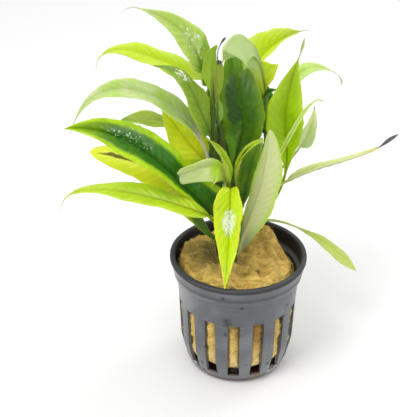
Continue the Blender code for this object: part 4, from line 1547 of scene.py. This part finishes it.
class HYGROPHILA_OT_leaves(bpy.types.Operator):
    """Build every leaf with its own material."""

    bl_idname = "hygrophila.leaves"
    bl_label = "Leaves"

    def execute(self, context):
        settings = context.scene.hygrophila_leaf
        for seed, (name, leaf) in enumerate(LEAVES.items()):
            look = LOOKS[name]
            length = leaf_length(leaf)
            veins = length * MM / settings.vein_spacing
            slant = leaf.width / 2 / length * SLANT
            piece = link_mesh(name + "_leaf", leaf_mesh(name, leaf, seed, veins, slant, settings))
            piece.data.materials.append(leaf_material(name, leaf, look, veins, slant, settings))
            settle(piece, SLOT_OF_TINT[look.tint], "leaf_" + name)
        return {"FINISHED"}


def add_light(name, place, size, power):
    """A square soft white light that faces the plant."""
    lamp = bpy.data.lights.new(name, "AREA")
    lamp.size = size
    lamp.energy = power
    thing = bpy.data.objects.new(name, lamp)
    bpy.context.scene.collection.objects.link(thing)
    thing.location = place
    thing.rotation_euler = (Vector(place) - Vector(LIGHT_TARGET)).to_track_quat("Z", "Y").to_euler()
    return thing


def add_camera():
    """The camera at the photograph's place and angle."""
    camera = bpy.data.objects.new("camera", bpy.data.cameras.new("camera"))
    bpy.context.scene.collection.objects.link(camera)
    camera.location = [c * MM for c in CAMERA_PLACE]
    camera.rotation_euler = (math.radians(90.0 - CAMERA_SLOPE), 0.0, 0.0)
    camera.data.lens = camera.data.sensor_width * CAMERA_FOCUS / max(FRAME_SIZE)
    camera.data.clip_start = 0.01
    bpy.context.scene.camera = camera


class HYGROPHILA_OT_stage(bpy.types.Operator):
    """Set the floor, the light and the camera."""

    bl_idname = "hygrophila.stage"
    bl_label = "Stage"

    def execute(self, context):
        look = context.scene.hygrophila_stage
        near, far = -FLOOR_HALF, FLOOR_HALF
        corners = [(near, near, 0.0), (far, near, 0.0), (far, far, 0.0), (near, far, 0.0)]
        mesh = bpy.data.meshes.new("floor")
        mesh.from_pydata(corners, [], [(0, 1, 2, 3)])
        floor = link_mesh("floor", mesh)
        material, nodes = new_material("floor_paper")
        surface(nodes, {"Base Color": (*look.floor, 1.0), "Roughness": 0.9, "Specular IOR Level": 0.2})
        mesh.materials.append(material)
        world = bpy.data.worlds.new("studio")
        world.use_nodes = True
        sky = Nodes(world.node_tree)
        glow = sky.add("ShaderNodeBackground", {}, {"Color": (1.0, 1.0, 1.0, 1.0), "Strength": look.sky})
        sky.add("ShaderNodeOutputWorld", {}, {"Surface": glow})
        context.scene.world = world
        add_light("key", KEY_PLACE, KEY_SIZE, look.key)
        add_light("rim", RIM_PLACE, RIM_SIZE, look.key * RIM_SHARE)
        for index, place in enumerate(GLINT_PLACES):
            add_light(f"glint_{index}", place, GLINT_SIZE, look.glint).visible_diffuse = False
        add_camera()
        context.scene.view_settings.view_transform = "Standard"
        return {"FINISHED"}


class HYGROPHILA_PT_panel(bpy.types.Panel):
    """The pieces of the plant and their settings."""

    bl_label = "Potted hygrophila"
    bl_idname = "HYGROPHILA_PT_panel"
    bl_space_type = "VIEW_3D"
    bl_region_type = "UI"
    bl_category = "Hygrophila"

    def draw(self, context):
        for name, _, operator in SECTIONS:
            box = self.layout.box()
            settings = getattr(context.scene, name)
            for setting in settings.__annotations__:
                box.prop(settings, setting)
            box.operator(operator.bl_idname)


# The scene's settings under their names, and the operators that read them.
SECTIONS = (
    ("hygrophila_pot", PotSettings, HYGROPHILA_OT_pot),
    ("hygrophila_plug", PlugSettings, HYGROPHILA_OT_rockwool),
    ("hygrophila_stem", StemSettings, HYGROPHILA_OT_stems),
    ("hygrophila_leaf", LeafSettings, HYGROPHILA_OT_leaves),
    ("hygrophila_stage", StageSettings, HYGROPHILA_OT_stage),
)
CLASSES = (*(cls for _, *pair in SECTIONS for cls in pair), HYGROPHILA_PT_panel)


def register():
    """Make the classes known and give the scene its settings."""
    for cls in CLASSES:
        bpy.utils.register_class(cls)
    for name, group, _ in SECTIONS:
        setattr(bpy.types.Scene, name, PointerProperty(type=group))


def unregister():
    """Take the settings and the classes away again."""
    for name, _, _ in SECTIONS:
        delattr(bpy.types.Scene, name)
    for cls in reversed(CLASSES):
        bpy.utils.unregister_class(cls)


def main():
    """Build the plant."""
    register()
    bpy.ops.hygrophila.pot()
    bpy.ops.hygrophila.rockwool()
    bpy.ops.hygrophila.stems()
    bpy.ops.hygrophila.leaves()
    bpy.ops.hygrophila.stage()


if __name__ == "__main__":
    main()
